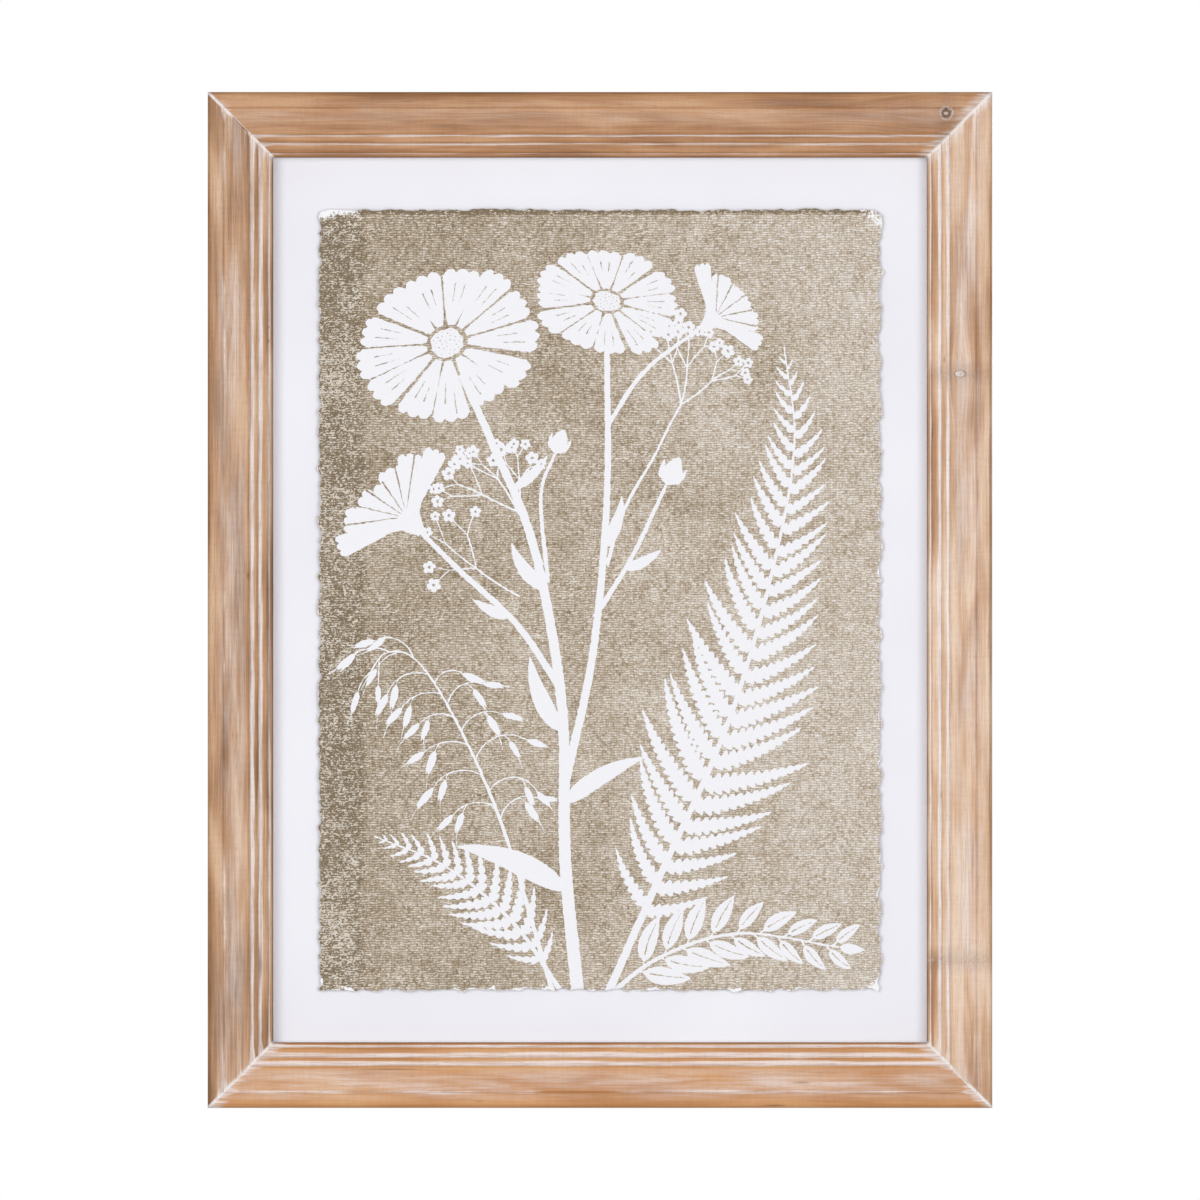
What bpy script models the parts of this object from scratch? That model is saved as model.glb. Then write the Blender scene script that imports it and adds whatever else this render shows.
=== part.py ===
# A wall frame that holds a botanical print on a torn-edge sheet, floated in front of a white board behind glass.
# Metres, +Z up. The front faces -Y and the wall is the plane y = 0.
# The origin is the middle notch of the sawtooth hanger, where the wall nail carries the frame.

import math
import random

import bmesh
import bpy
from mathutils import Matrix, Vector

MM = 0.001
FIT_GAP = 0.3 * MM

# Overall size of the frame, and the width of its face
FRAME_W = 451.0 * MM
FRAME_H = 584.0 * MM
FACE_W = 37.5 * MM
OPEN_W = FRAME_W - 2 * FACE_W
OPEN_H = FRAME_H - 2 * FACE_W

# The moulding: heights are measured from its back face, distances outwards from the sight edge
RAIL_DEPTH = 24.0 * MM
REBATE_W = 7.0 * MM
LIP_BACK = 14.6 * MM
OUTER_CROWN = 31.6 * MM
OUTER_ROUND = 3.2 * MM
BACK_EASE = 0.8 * MM
QUIRK_AT = 28.0 * MM
QUIRK_HALF = 0.45 * MM
QUIRK_DEPTH = 0.5 * MM
BAND_INNER = 15.6 * MM
BAND_H = 22.7 * MM
BAND_HOLLOW = 0.6 * MM
# Each step: where its crown is, its crown height, and the groove on its inner side with that groove's height
STEPS = (
    (BAND_INNER, BAND_H, 12.9 * MM, 20.6 * MM),
    (10.6 * MM, 21.2 * MM, 8.2 * MM, 19.2 * MM),
    (5.3 * MM, 19.8 * MM, 2.5 * MM, 17.9 * MM),
)
LIP_CROWN = (1.5 * MM, 18.3 * MM)
LIP_EDGE_H = 17.3 * MM
ARC_STEPS = 5
MITRE_GAP = 0.15 * MM

# The wall side
STAND_OFF = 2.2 * MM
HANGER_AT = 22.0 * MM

# What lies in the rebate, from the glass backwards
GLASS_T = 2.0 * MM
SPACER_T = 4.0 * MM
SPACER_W = 5.0 * MM
BOARD_T = 1.6 * MM
PANEL_T = 3.0 * MM
REBATE_PLAY = 0.5 * MM
RISER_T = 1.6 * MM
RISER_INSET = 24.0 * MM

# The torn-edge sheet
SHEET_W = 326.0 * MM
SHEET_H = 452.0 * MM
SHEET_T = 0.6 * MM
SHEET_CORNER = 4.0 * MM
SHEET_SEED = 23
SHEET_STEP = 5.0 * MM
# Waves round the whole edge: how many, and how far each moves it
DECKLE_WAVES = ((8, 0.45 * MM), (19, 0.40 * MM), (33, 0.35 * MM), (57, 0.45 * MM), (91, 0.40 * MM))

# Bendable steel points that hold the back panel in
POINT_L = 16.0 * MM
POINT_W = 5.6 * MM
POINT_T = 0.5 * MM
POINT_IN = 4.0 * MM
POINT_TIP = 2.4 * MM
POINTS_ON_LONG = (-170.0 * MM, 0.0, 170.0 * MM)
POINTS_ON_SHORT = (-95.0 * MM, 95.0 * MM)

# The sawtooth hanger and its two nails
HANGER_L = 46.0 * MM
HANGER_W = 9.0 * MM
HANGER_T = 0.8 * MM
HANGER_RISE = 1.1 * MM
TAB_L = 8.5 * MM
JOGGLE_L = 1.6 * MM
TOOTH = 2.0 * MM
TOOTH_H = 1.3 * MM
TEETH_HALF = 12
NAIL_AT = 18.5 * MM
NAIL_HEAD_R = 2.1 * MM
NAIL_HEAD_T = 0.8 * MM
NAIL_SHANK_R = 0.7 * MM
NAIL_L = 10.0 * MM
NAIL_TIP = 1.8 * MM
NAIL_SIDES = 14

# Bumper pads near the bottom corners
BUMPER_R = 5.0 * MM
BUMPER_IN = 24.0 * MM
BUMPER_SIDES = 24

# Places that follow from the sizes above
MIDDLE_Z = -(OPEN_H / 2 + HANGER_AT)
RAIL_BACK_Y = -STAND_OFF
GLASS_FRONT = LIP_BACK - FIT_GAP
SPACER_FRONT = GLASS_FRONT - GLASS_T - FIT_GAP
BOARD_FRONT = SPACER_FRONT - SPACER_T - FIT_GAP
PANEL_FRONT = BOARD_FRONT - BOARD_T - FIT_GAP
POINT_FRONT = PANEL_FRONT - PANEL_T - FIT_GAP
RISER_FRONT = BOARD_FRONT + FIT_GAP + RISER_T
SHEET_FRONT = RISER_FRONT + FIT_GAP + SHEET_T
PACK_W = OPEN_W + 2 * (REBATE_W - REBATE_PLAY)
PACK_H = OPEN_H + 2 * (REBATE_W - REBATE_PLAY)


def clear_scene():
    for old in list(bpy.data.objects):
        bpy.data.objects.remove(old)


def finish(name, colour, roughness, metallic=0.0, alpha=1.0):
    """A plain material in the part's colour."""
    material = bpy.data.materials.new(name)
    material.use_nodes = True
    shader = material.node_tree.nodes["Principled BSDF"]
    shader.inputs["Base Color"].default_value = (*colour, 1.0)
    shader.inputs["Roughness"].default_value = roughness
    shader.inputs["Metallic"].default_value = metallic
    shader.inputs["Alpha"].default_value = alpha
    return material


def add_object(name, bm, material=None):
    """The bmesh as an object in the scene, its faces turned outwards."""
    bmesh.ops.recalc_face_normals(bm, faces=bm.faces)
    mesh = bpy.data.meshes.new(name)
    bm.to_mesh(mesh)
    bm.free()
    if material:
        mesh.materials.append(material)
    obj = bpy.data.objects.new(name, mesh)
    bpy.context.scene.collection.objects.link(obj)
    return obj


def extrude_outline(points, offset):
    """A closed solid: one face on these points, drawn out by an offset."""
    bm = bmesh.new()
    face = bm.faces.new([bm.verts.new(p) for p in points])
    drawn = bmesh.ops.extrude_face_region(bm, geom=[face])["geom"]
    moved = [v for v in drawn if isinstance(v, bmesh.types.BMVert)]
    bmesh.ops.translate(bm, verts=moved, vec=offset)
    return bm


def height_y(height):
    """The y of a height above the moulding's back face."""
    return RAIL_BACK_Y - height


def add_slab(name, size_x, size_z, front, thickness, material, centre_x=0.0, centre_z=MIDDLE_Z):
    """A flat sheet, its front at that height above the moulding's back face."""
    x, z = size_x / 2, size_z / 2
    corners = [(-x, 0, -z), (x, 0, -z), (x, 0, z), (-x, 0, z)]
    obj = add_object(name, extrude_outline(corners, (0, thickness, 0)), material)
    obj.location = (centre_x, height_y(front), centre_z)
    return obj


def quarter(start, end, rising):
    """Points of a quarter ellipse from start to end, without start. A rising one leaves start steeply."""
    points = []
    for i in range(1, ARC_STEPS + 1):
        turn = math.pi / 2 * i / ARC_STEPS
        along, up = (1 - math.cos(turn), math.sin(turn)) if rising else (math.sin(turn), 1 - math.cos(turn))
        points.append((start[0] + (end[0] - start[0]) * along, start[1] + (end[1] - start[1]) * up))
    return points


def moulding_profile():
    """The rail's section as (outwards, height) points, from the sight edge over the face and round the back."""
    points = [(0.0, LIP_BACK), (0.0, LIP_EDGE_H)]
    points += quarter(points[-1], LIP_CROWN, True)
    for crown, crown_h, groove, groove_h in reversed(STEPS):
        points += quarter(points[-1], (groove, groove_h), False)
        points += quarter(points[-1], (crown, crown_h), True)
    # The broad band is a shallow hollow, and ends in a narrow V line
    band_end = QUIRK_AT - QUIRK_HALF
    for i in range(1, 7):
        share = i / 6
        sag = BAND_HOLLOW * math.sin(math.pi * share)
        points.append((BAND_INNER + (band_end - BAND_INNER) * share, BAND_H - sag))
    points.append((QUIRK_AT, BAND_H - QUIRK_DEPTH))
    points.append((QUIRK_AT + QUIRK_HALF, BAND_H + QUIRK_DEPTH / 2))
    points += quarter(points[-1], (OUTER_CROWN, RAIL_DEPTH), True)
    points.append((FACE_W - OUTER_ROUND, RAIL_DEPTH - 0.2 * MM))
    points += quarter(points[-1], (FACE_W, RAIL_DEPTH - OUTER_ROUND), False)
    points += [(FACE_W, BACK_EASE), (FACE_W - BACK_EASE, 0.0), (REBATE_W, 0.0), (REBATE_W, LIP_BACK)]
    return points


def add_rail(name, opening, sight, quarter_turns, material):
    """One mitred rail. It's made as the bottom one, with its sight edge on the local X axis, then turned and moved."""
    profile = moulding_profile()
    half = opening / 2 - MITRE_GAP
    outline = [(-half, -height, -out) for out, height in profile]
    bm = extrude_outline(outline, (2 * half, 0, 0))
    for vertex in bm.verts:
        vertex.co.x += math.copysign(-vertex.co.z, vertex.co.x)
    rail = add_object(name, bm, material)
    turn = Matrix.Rotation(-math.pi / 2 * quarter_turns, 4, "Y")
    rail.matrix_world = Matrix.Translation((0, RAIL_BACK_Y, MIDDLE_Z)) @ turn @ Matrix.Translation((0, 0, -sight))
    return rail


def add_rails(material):
    """The four rails, by name, each with how its own frame sits in the world."""
    return {
        "rail_bottom": add_rail("rail_bottom", OPEN_W, OPEN_H / 2, 0, material),
        "rail_right": add_rail("rail_right", OPEN_H, OPEN_W / 2, 1, material),
        "rail_top": add_rail("rail_top", OPEN_W, OPEN_H / 2, 2, material),
        "rail_left": add_rail("rail_left", OPEN_H, OPEN_W / 2, 3, material),
    }


def cut(obj, cutter):
    """Takes the cutter's shape out of obj."""
    cutter.hide_render = True
    cutter.display_type = "WIRE"
    modifier = obj.modifiers.new("cut", "BOOLEAN")
    modifier.operation = "DIFFERENCE"
    modifier.solver = "EXACT"
    modifier.object = cutter


def point_outline(along, grow):
    """The outline of a steel point on the bottom rail, in the rail's frame: tip in the wood, round end inside."""
    half = POINT_W / 2 + grow
    tip = REBATE_W + POINT_IN + grow
    shoulder = tip - POINT_TIP
    end = REBATE_W + POINT_IN - POINT_L
    outline = [(along - half, -shoulder), (along - half / 3, -tip), (along + half / 3, -tip), (along + half, -shoulder)]
    for i in range(7):
        turn = math.pi * i / 6
        outline.append((along + half * math.cos(turn), -end - half + half * math.sin(turn)))
    return outline


def add_points(rails, steel):
    """The bendable points: each has its tip in a slot in the rebate wall and lies on the back panel."""
    number = 0
    for rail_name, places in (
        ("rail_bottom", POINTS_ON_SHORT),
        ("rail_right", POINTS_ON_LONG),
        ("rail_top", POINTS_ON_SHORT),
        ("rail_left", POINTS_ON_LONG),
    ):
        rail = rails[rail_name]
        for along in places:
            number += 1
            outline = [(x, -POINT_FRONT, z) for x, z in point_outline(along, 0.0)]
            point = add_object(f"retaining_point_{number}", extrude_outline(outline, (0, POINT_T, 0)), steel)
            point.matrix_world = rail.matrix_world
            slot_outline = [(x, -POINT_FRONT - FIT_GAP, z) for x, z in point_outline(along, FIT_GAP)]
            slot_depth = POINT_T + 2 * FIT_GAP
            slot = add_object(f"slot_{number}", extrude_outline(slot_outline, (0, slot_depth, 0)))
            slot.matrix_world = rail.matrix_world
            cut(rail, slot)


def add_spacers(material):
    """Four strips in the rebate that hold the glass off the board."""
    edge_x = PACK_W / 2 - SPACER_W / 2
    edge_z = PACK_H / 2 - SPACER_W / 2
    side_h = PACK_H - 2 * SPACER_W - 2 * FIT_GAP
    for name, size_x, size_z, x, z in (
        ("spacer_top", PACK_W, SPACER_W, 0.0, edge_z),
        ("spacer_bottom", PACK_W, SPACER_W, 0.0, -edge_z),
        ("spacer_left", SPACER_W, side_h, -edge_x, 0.0),
        ("spacer_right", SPACER_W, side_h, edge_x, 0.0),
    ):
        add_slab(name, size_x, size_z, SPACER_FRONT, SPACER_T, material, x, MIDDLE_Z + z)


def sheet_edge():
    """Points round the torn edge, anticlockwise seen from the front: a round-cornered rectangle, worn inwards."""
    draw = random.Random(SHEET_SEED)
    waves = [(count, size, draw.uniform(0, 2 * math.pi)) for count, size in DECKLE_WAVES]
    most_in = sum(size for _, size in DECKLE_WAVES)
    half_w, half_h = SHEET_W / 2 - SHEET_CORNER, SHEET_H / 2 - SHEET_CORNER
    bend = math.pi / 2 * SHEET_CORNER
    # Straights and corners in turn, each as its length, its start and its heading
    lengths = [2 * half_w, bend, 2 * half_h, bend, 2 * half_w, bend, 2 * half_h, bend]
    corners = [(half_w, -half_h), (half_w, half_h), (-half_w, half_h), (-half_w, -half_h)]
    around = sum(lengths)
    count = round(around / SHEET_STEP)
    points = []
    for i in range(count):
        place = around * i / count
        travelled = place
        leg = 0
        while travelled > lengths[leg]:
            travelled -= lengths[leg]
            leg += 1
        side = leg // 2
        facing = -math.pi / 2 + side * math.pi / 2
        corner = Vector(corners[side])
        if leg % 2:
            facing += travelled / SHEET_CORNER
            base = corner
        else:
            heading = Vector((math.cos(facing + math.pi / 2), math.sin(facing + math.pi / 2)))
            base = corner - heading * (lengths[leg] - travelled)
        outwards = Vector((math.cos(facing), math.sin(facing)))
        # Folded sines: round bites that meet in small points
        wear = sum(size * abs(math.sin(math.pi * n * place / around + turn)) for n, size, turn in waves)
        points.append(base + outwards * (SHEET_CORNER - min(wear, most_in)))
    return points


def add_sheet(material):
    outline = [(p.x, 0.0, p.y) for p in sheet_edge()]
    sheet = add_object("print_sheet", extrude_outline(outline, (0, SHEET_T, 0)), material)
    sheet.location = (0, height_y(SHEET_FRONT), MIDDLE_Z)


def add_hanger(material):
    """A pressed strip with flat ends and a raised, toothed middle. Its middle notch is at the origin."""
    raised = HANGER_L / 2 - TAB_L
    stations = [(-HANGER_L / 2, 0.0), (-raised - JOGGLE_L / 2, 0.0)]
    stations += [(TOOTH * i / 2, 1.0) for i in range(-TEETH_HALF, TEETH_HALF + 1)]
    stations += [(raised + JOGGLE_L / 2, 0.0), (HANGER_L / 2, 0.0)]
    bm = bmesh.new()
    loops = []
    for i, (x, lift) in enumerate(stations):
        toothed = 2 <= i < len(stations) - 2
        # Notches are at even steps from the middle, and the points of the teeth between them
        notch = toothed and (i - 2 - TEETH_HALF) % 2 == 0
        low = 0.0 if notch else -TOOTH_H
        back = -HANGER_RISE * (1 - lift)
        corners = ((back, low), (back, HANGER_W), (back - HANGER_T, HANGER_W), (back - HANGER_T, low))
        loops.append([bm.verts.new((x, y, z)) for y, z in corners])
    for a, b in zip(loops, loops[1:]):
        for i in range(4):
            j = (i + 1) % 4
            bm.faces.new((a[i], a[j], b[j], b[i]))
    bm.faces.new(loops[0])
    bm.faces.new(loops[-1])
    return add_object("sawtooth_hanger", bm, material)


def lathe(name, profile, sides, material=None):
    """A turned solid about the Y axis from (radius, y) points that start and end on the axis."""
    bm = bmesh.new()
    verts = [bm.verts.new((radius, y, 0)) for radius, y in profile]
    edges = [bm.edges.new(pair) for pair in zip(verts, verts[1:])]
    bmesh.ops.spin(
        bm, geom=verts + edges, cent=(0, 0, 0), axis=(0, 1, 0), angle=2 * math.pi, steps=sides, use_duplicate=False
    )
    bmesh.ops.remove_doubles(bm, verts=bm.verts, dist=1e-6)
    return add_object(name, bm, material)


def add_nails(rail, hanger, material):
    """Two nails through the hanger's flat ends into drilled holes in the top rail."""
    tab_back = -HANGER_RISE
    top = tab_back + FIT_GAP + NAIL_HEAD_T
    under = tab_back + FIT_GAP
    tip = top - NAIL_L
    profile = [
        (0.0, top),
        (NAIL_HEAD_R * 0.7, top - 0.1 * MM),
        (NAIL_HEAD_R, under + NAIL_HEAD_T / 3),
        (NAIL_HEAD_R, under),
        (NAIL_SHANK_R, under),
        (NAIL_SHANK_R, tip + NAIL_TIP),
        (0.0, tip),
    ]
    hole_r = NAIL_SHANK_R + FIT_GAP
    hole = [(0.0, top), (hole_r, top), (hole_r, tip - FIT_GAP), (0.0, tip - FIT_GAP)]
    for name, x in (("hanger_nail_left", -NAIL_AT), ("hanger_nail_right", NAIL_AT)):
        place = (x, 0.0, (HANGER_W - TOOTH_H) / 2)
        lathe(name, profile, NAIL_SIDES, material).location = place
        for i, drilled in enumerate((rail, hanger)):
            cutter = lathe(f"{name}_hole_{i}", hole, NAIL_SIDES)
            cutter.location = place
            cut(drilled, cutter)


def add_bumpers(material):
    """Round pads that keep the frame's foot as far off the wall as its hanger does."""
    front = RAIL_BACK_Y + FIT_GAP
    profile = [(0.0, front), (BUMPER_R, front), (BUMPER_R, -0.5 * MM), (BUMPER_R - 0.5 * MM, 0.0), (0.0, 0.0)]
    x = FRAME_W / 2 - BUMPER_IN
    z = MIDDLE_Z - FRAME_H / 2 + FACE_W / 2 - REBATE_W / 2
    lathe("bumper_left", profile, BUMPER_SIDES, material).location = (-x, 0.0, z)
    lathe("bumper_right", profile, BUMPER_SIDES, material).location = (x, 0.0, z)


def main():
    clear_scene()
    wood = finish("washed_fir", (0.56, 0.38, 0.27), 0.6)
    clear = finish("clear_glass", (1.0, 1.0, 1.0), 0.0, alpha=0.2)
    foam = finish("white_foam", (0.85, 0.85, 0.85), 0.9)
    white_board = finish("white_board", (0.84, 0.83, 0.90), 0.9)
    linen_print = finish("linen_print", (0.52, 0.44, 0.36), 0.9)
    hardboard = finish("hardboard", (0.25, 0.15, 0.08), 0.7)
    steel = finish("zinc_plated_steel", (0.60, 0.60, 0.60), 0.35, metallic=1.0)
    rubber = finish("grey_rubber", (0.30, 0.30, 0.30), 0.8)

    rails = add_rails(wood)
    add_points(rails, steel)
    add_slab("glass_pane", PACK_W, PACK_H, GLASS_FRONT, GLASS_T, clear)
    add_spacers(foam)
    add_slab("mount_board", PACK_W, PACK_H, BOARD_FRONT, BOARD_T, white_board)
    riser_w, riser_h = SHEET_W - 2 * RISER_INSET, SHEET_H - 2 * RISER_INSET
    add_slab("float_riser", riser_w, riser_h, RISER_FRONT, RISER_T, foam)
    add_sheet(linen_print)
    add_slab("back_panel", PACK_W, PACK_H, PANEL_FRONT, PANEL_T, hardboard)
    hanger = add_hanger(steel)
    add_nails(rails["rail_top"], hanger, steel)
    add_bumpers(rubber)


main()
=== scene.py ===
# The looks of a framed botanical print: white plants printed on a torn-edge sheet with a linen finish, which
# floats on a white board behind glass, in a moulding of white-washed fir.
# Metres, +Z up, and the front faces -Y. The print and its sheet are laid out in millimetres from the sheet's
# middle, as complex numbers: the real part runs right and the imaginary part up.

import cmath
import math
import random

import bmesh
import bpy
from mathutils import Matrix, Vector, geometry, kdtree, noise


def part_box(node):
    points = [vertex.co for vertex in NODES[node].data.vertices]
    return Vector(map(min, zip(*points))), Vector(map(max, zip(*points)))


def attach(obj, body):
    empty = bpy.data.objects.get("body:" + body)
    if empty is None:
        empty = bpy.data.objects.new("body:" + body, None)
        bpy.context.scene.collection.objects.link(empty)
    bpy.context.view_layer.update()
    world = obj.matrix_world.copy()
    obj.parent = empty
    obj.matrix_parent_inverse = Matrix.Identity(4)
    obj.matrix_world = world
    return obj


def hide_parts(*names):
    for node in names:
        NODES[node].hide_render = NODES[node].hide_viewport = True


MM = 0.001

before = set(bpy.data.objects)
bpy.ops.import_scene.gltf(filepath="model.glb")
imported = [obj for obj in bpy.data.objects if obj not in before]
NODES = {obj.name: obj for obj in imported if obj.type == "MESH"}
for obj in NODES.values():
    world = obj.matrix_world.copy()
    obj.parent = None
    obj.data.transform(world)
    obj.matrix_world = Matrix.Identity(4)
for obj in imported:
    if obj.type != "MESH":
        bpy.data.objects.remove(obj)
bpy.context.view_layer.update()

# Places read off the frame
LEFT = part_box("rail_left")[0].x
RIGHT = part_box("rail_right")[1].x
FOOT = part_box("rail_bottom")[0].z
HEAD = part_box("rail_top")[1].z
FACE_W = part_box("rail_bottom")[1].z - FOOT
OPEN_W = RIGHT - LEFT - 2 * FACE_W
OPEN_H = HEAD - FOOT - 2 * FACE_W
MIDDLE_Z = (HEAD + FOOT) / 2
RAIL_BACK_Y, FRONT_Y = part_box("rail_bottom")[1].y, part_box("rail_bottom")[0].y
SHEET_FRONT_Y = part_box("print_sheet")[0].y
POINTS = sorted(name for name in NODES if name.startswith("retaining_point"))

# The moulding's section, as in the model: heights above its back, distances outwards from the sight edge
REBATE_W, LIP_BACK, LIP_EDGE_H = 7.0 * MM, 14.6 * MM, 17.3 * MM
RAIL_DEPTH, OUTER_CROWN, OUTER_ROUND, BACK_EASE = 24.0 * MM, 31.6 * MM, 3.2 * MM, 0.8 * MM
QUIRK_AT, QUIRK_HALF, QUIRK_DEPTH = 28.0 * MM, 0.45 * MM, 0.3 * MM
BAND_INNER, BAND_H, BAND_HOLLOW = 15.6 * MM, 22.7 * MM, 0.6 * MM
LIP_CROWN = (1.5 * MM, 18.3 * MM)
# Each step: where its crown is, its crown height, and the groove on its inner side with that groove's height
STEPS = (
    (5.3 * MM, 19.8 * MM, 2.5 * MM, 17.9 * MM),
    (10.6 * MM, 21.2 * MM, 8.2 * MM, 19.2 * MM),
    (BAND_INNER, BAND_H, 12.9 * MM, 20.6 * MM),
)
# Points in each of the section's curves and on its band, stations along a rail, and how far the hand wavered
ARC_STEPS, BAND_STEPS = 9, 12
RAIL_STATIONS = 240
HAND_WAVER = 0.16 * MM

# Where white wash stays on the treads and in the grooves: it starts at the first distance outwards, is
# thickest at the second and ends at the third. The last number is how thick it gets
WASH_STRIPES = (
    (0.9 * MM, 2.3 * MM, 3.2 * MM, 0.82),
    (4.9 * MM, 8.1 * MM, 8.8 * MM, 1.0),
    (9.8 * MM, 12.8 * MM, 13.5 * MM, 1.0),
    (25.6 * MM, 28.0 * MM, 31.0 * MM, 0.36),
)
# A thin veil of it on the broad band, in the same terms
VEIL = (14.8 * MM, 22.5 * MM, 33.0 * MM, 1.0)
# Where paint starts and has fully filled the mitres: in their outer third, and inwards across the steps
FILLED_OUTER, FILLED_INNER = (23.0 * MM, 26.0 * MM), (13.0 * MM, 15.0 * MM)

# The sheet, in millimetres. Its torn edge is the model's, worn in by waves that each have a count round the
# sheet and a size. Finer tears are added, eased back out, with small cusps at the foot and the right. Being
# cockled, it fills only a share of the model's thickness
SHEET_W, SHEET_H, SHEET_T, FILLED_T = 326.0, 452.0, 0.6, 0.85
SHEET_CORNER, SHEET_SEED = 4.0, 23
DECKLE_WAVES = ((8, 0.45), (19, 0.40), (33, 0.35), (57, 0.45), (91, 0.40))
FRAY_WAVES = ((61, 0.5), (97, 0.8), (149, 0.95), (227, 0.6), (331, 0.4))
FRAY_EASE, FRAY_AT_TOP = 1.8, 0.5
CUSP_OUT = -0.5
SCALLOPS, SCALLOP_DEPTH = 59, 2.0
EDGE_STEP = 0.8
# How its surface is parted and how it lies: points in rings near the edge and on a grid, the height of its
# cockle, how high its edge curls and how far in that reaches, and how its torn rim thins
RIM_RINGS = (0.9, 2.4, 4.5)
GRID_STEP, GRID_MARGIN = 8.0, 8.0
COCKLE, CURL, CURL_REACH = 0.4, 1.3, 14.0
RIM_SINK, RIM_SINK_REACH = 0.32, 0.7
# The ink's outlines: the length of a step, how rough they are, and the cell in which few are looked at
PRINT_SEED = 5
INK_STEP, INK_ROUGHNESS = 1.5, 0.14
CELL = 10.0
# Corners that have lost their skin: the side and end each is at, how far the loss runs along each edge, and
# how full it is
CORNER_TEARS = ((-1, 1, 28.0, 7.5, 0.45), (1, -1, 12.0, 11.0, 0.6), (1, 1, 14.0, 12.5, 0.08))
FIBRE_L, FIBRE_T, FIBRE_SEED = 0.9 * MM, 0.05 * MM, 3

# How finely the rails are parted, how the wash lies on their back and sides, the gap in their joints, and the
# colours of their knots, dark marks and painted shade at the sight edge, and of the paint in the joints
SECTION_STEP, HIDDEN_STEP = 0.55 * MM, 4.0 * MM
BACK_WASH, SIDE_VEIL = -0.5, 0.5
MITRE_GAP = 0.05 * MM
SHARP_ANGLE = math.radians(35)
DARK_WOOD_AND_SHADE, FILLER = "5B3A24", "F1ECEA"

# The print's weave, its colours from worn dark to worn pale, and the ends of the crease in it, in millimetres
# from its middle
WEFT_SPACING, WARP_SPACING = 1.36 * MM, 1.6 * MM
LINEN_COLOURS = ((0.30, "786750"), (0.42, "9C8B73"), (0.54, "BAAA99"), (0.665, "D1C7BE"), (0.81, "EBE6E3"))
RUBBED, SCREEN_INK, PAPER_CORE = "E2D9CE", "EFEEF4", "F5F4F8"
CREASE = (Vector((141.0, 0.0, -174.0)), Vector((121.0, 0.0, -213.0)))
# How much darker it gets, and from where to where: over the top sixth, in a line at the very top, and where
# the left strip was folded
TOP_FADE, TOP_LINE, LEFT_FOLD = (-0.015, 150.0, 224.0), (-0.26, 221.5, 223.2), (-0.125, -134.0, -138.5)
# The scuffed strip beside that fold: how strong it is, and where it ends and is full
SCUFFED_STRIP = (0.085, -132.0, -142.0)
BOARD = ("EBE9F1", "F0EFF6")

# Steel points, and corrugated fasteners across the mitres
POINT_TIP = 2.4 * MM
FASTENERS_AT = (12.5 * MM, 31.0 * MM)
FASTENER_L, FASTENER_DEPTH, FASTENER_T = 11.0 * MM, 6.0 * MM, 0.5 * MM
FASTENER_WAVES, FASTENER_SWAY, FASTENER_PROUD = 4.0, 0.75 * MM, 0.12 * MM

# Each rail: its side, its sight length, the opening's size across it, its wood (dark, middle, light), its
# wash (thin, thick), how far the wash is rubbed back, how strong the veil is, how much paint fills the mitre
# at its near and far end, knots as (along, outwards, size, dark heart's size, squeeze) and dark marks as
# (along, outwards, length, width), in millimetres. The long marks on the left rail's lip and along the right
# rail's outer round are painted shade, not marks in the wood
RAILS = (
    ("bottom", OPEN_W, OPEN_H, ("B07A4B", "BF895A", "CA9A6C"), ("CFBBB0", "E3D8D4"), 0.24, 0.55, (1.0, 1.0),
     (),
     ((-70, 33.5, 9.0, 1.2), (116, 22.7, 15.0, 1.7), (100, 36.0, 18.0, 1.8), (-118, 15.2, 40.0, 1.1))),
    ("right", OPEN_H, OPEN_W, ("A87D5C", "C8A282", "DDC1A8"), ("D6C6BD", "E8E0DD"), 0.48, 0.6, (0.55, 0.9),
     ((130, 19, 6.4, 0.0, 1.6), (-207, 2.5, 3.2, 1.8, 1.2)),
     ((96, 3.2, 12.0, 1.4), (138, 10.0, 6.0, 1.6), (60, 29.0, 30.0, 0.7), (0, 36.2, 560.0, 2.0))),
    ("top", OPEN_W, OPEN_H, ("8E623F", "AA7B54", "BF936D"), ("B9A193", "D6C9C3"), 0.62, 0.2, (0.9, 0.25),
     ((-199, 25.3, 9.0, 6.4, 1.0),), ((40, 1.6, 26.0, 1.0), (110, 32.0, 14.0, 1.0))),
    ("left", OPEN_H, OPEN_W, ("86603F", "AE835F", "CAA685"), ("C4B1A6", "E1D7D2"), 0.3, 0.46, (0.2, 0.35),
     (),
     ((-157, 2.3, 3.4, 2.0), (-149, 2.4, 3.2, 2.2), (210, 7.4, 26.0, 3.4), (-14, 14.4, 5.0, 2.2),
      (-90, 35.0, 20.0, 0.8), (0, 1.5, 520.0, 2.6))),
)

# The studio, in metres from the middle of the frame's front: place, size and power of each lamp
AMBIENT = 0.32
LAMPS = (
    ("left_lamp", (-1.08, -2.6, 0.25), 1.4, 37.6),
    ("right_lamp", (1.02, -2.65, -0.05), 1.35, 35.6),
    ("back_left_lamp", (-1.3, 2.3, 1.0), 1.2, 32.0),
    ("back_right_lamp", (1.4, 2.2, 0.6), 1.2, 22.0),
)
FLOOR_Z, FLOOR_SIZE, FLOOR_GLOW, FLOOR_COLOUR = -1.32, 16.0, 0.4, "EFEEEC"
CAMERA_LENS, SENSOR_W, CAMERA_AWAY = 287.2, 36.0, 5.5


def flattened(holder):
    """The mesh that an object's modifiers make. The object is removed."""
    bpy.context.view_layer.update()
    graph = bpy.context.evaluated_depsgraph_get()
    made = holder.evaluated_get(graph)
    mesh = bpy.data.meshes.new_from_object(made, preserve_all_data_layers=True, depsgraph=graph)
    bpy.data.objects.remove(holder)
    return mesh


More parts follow.
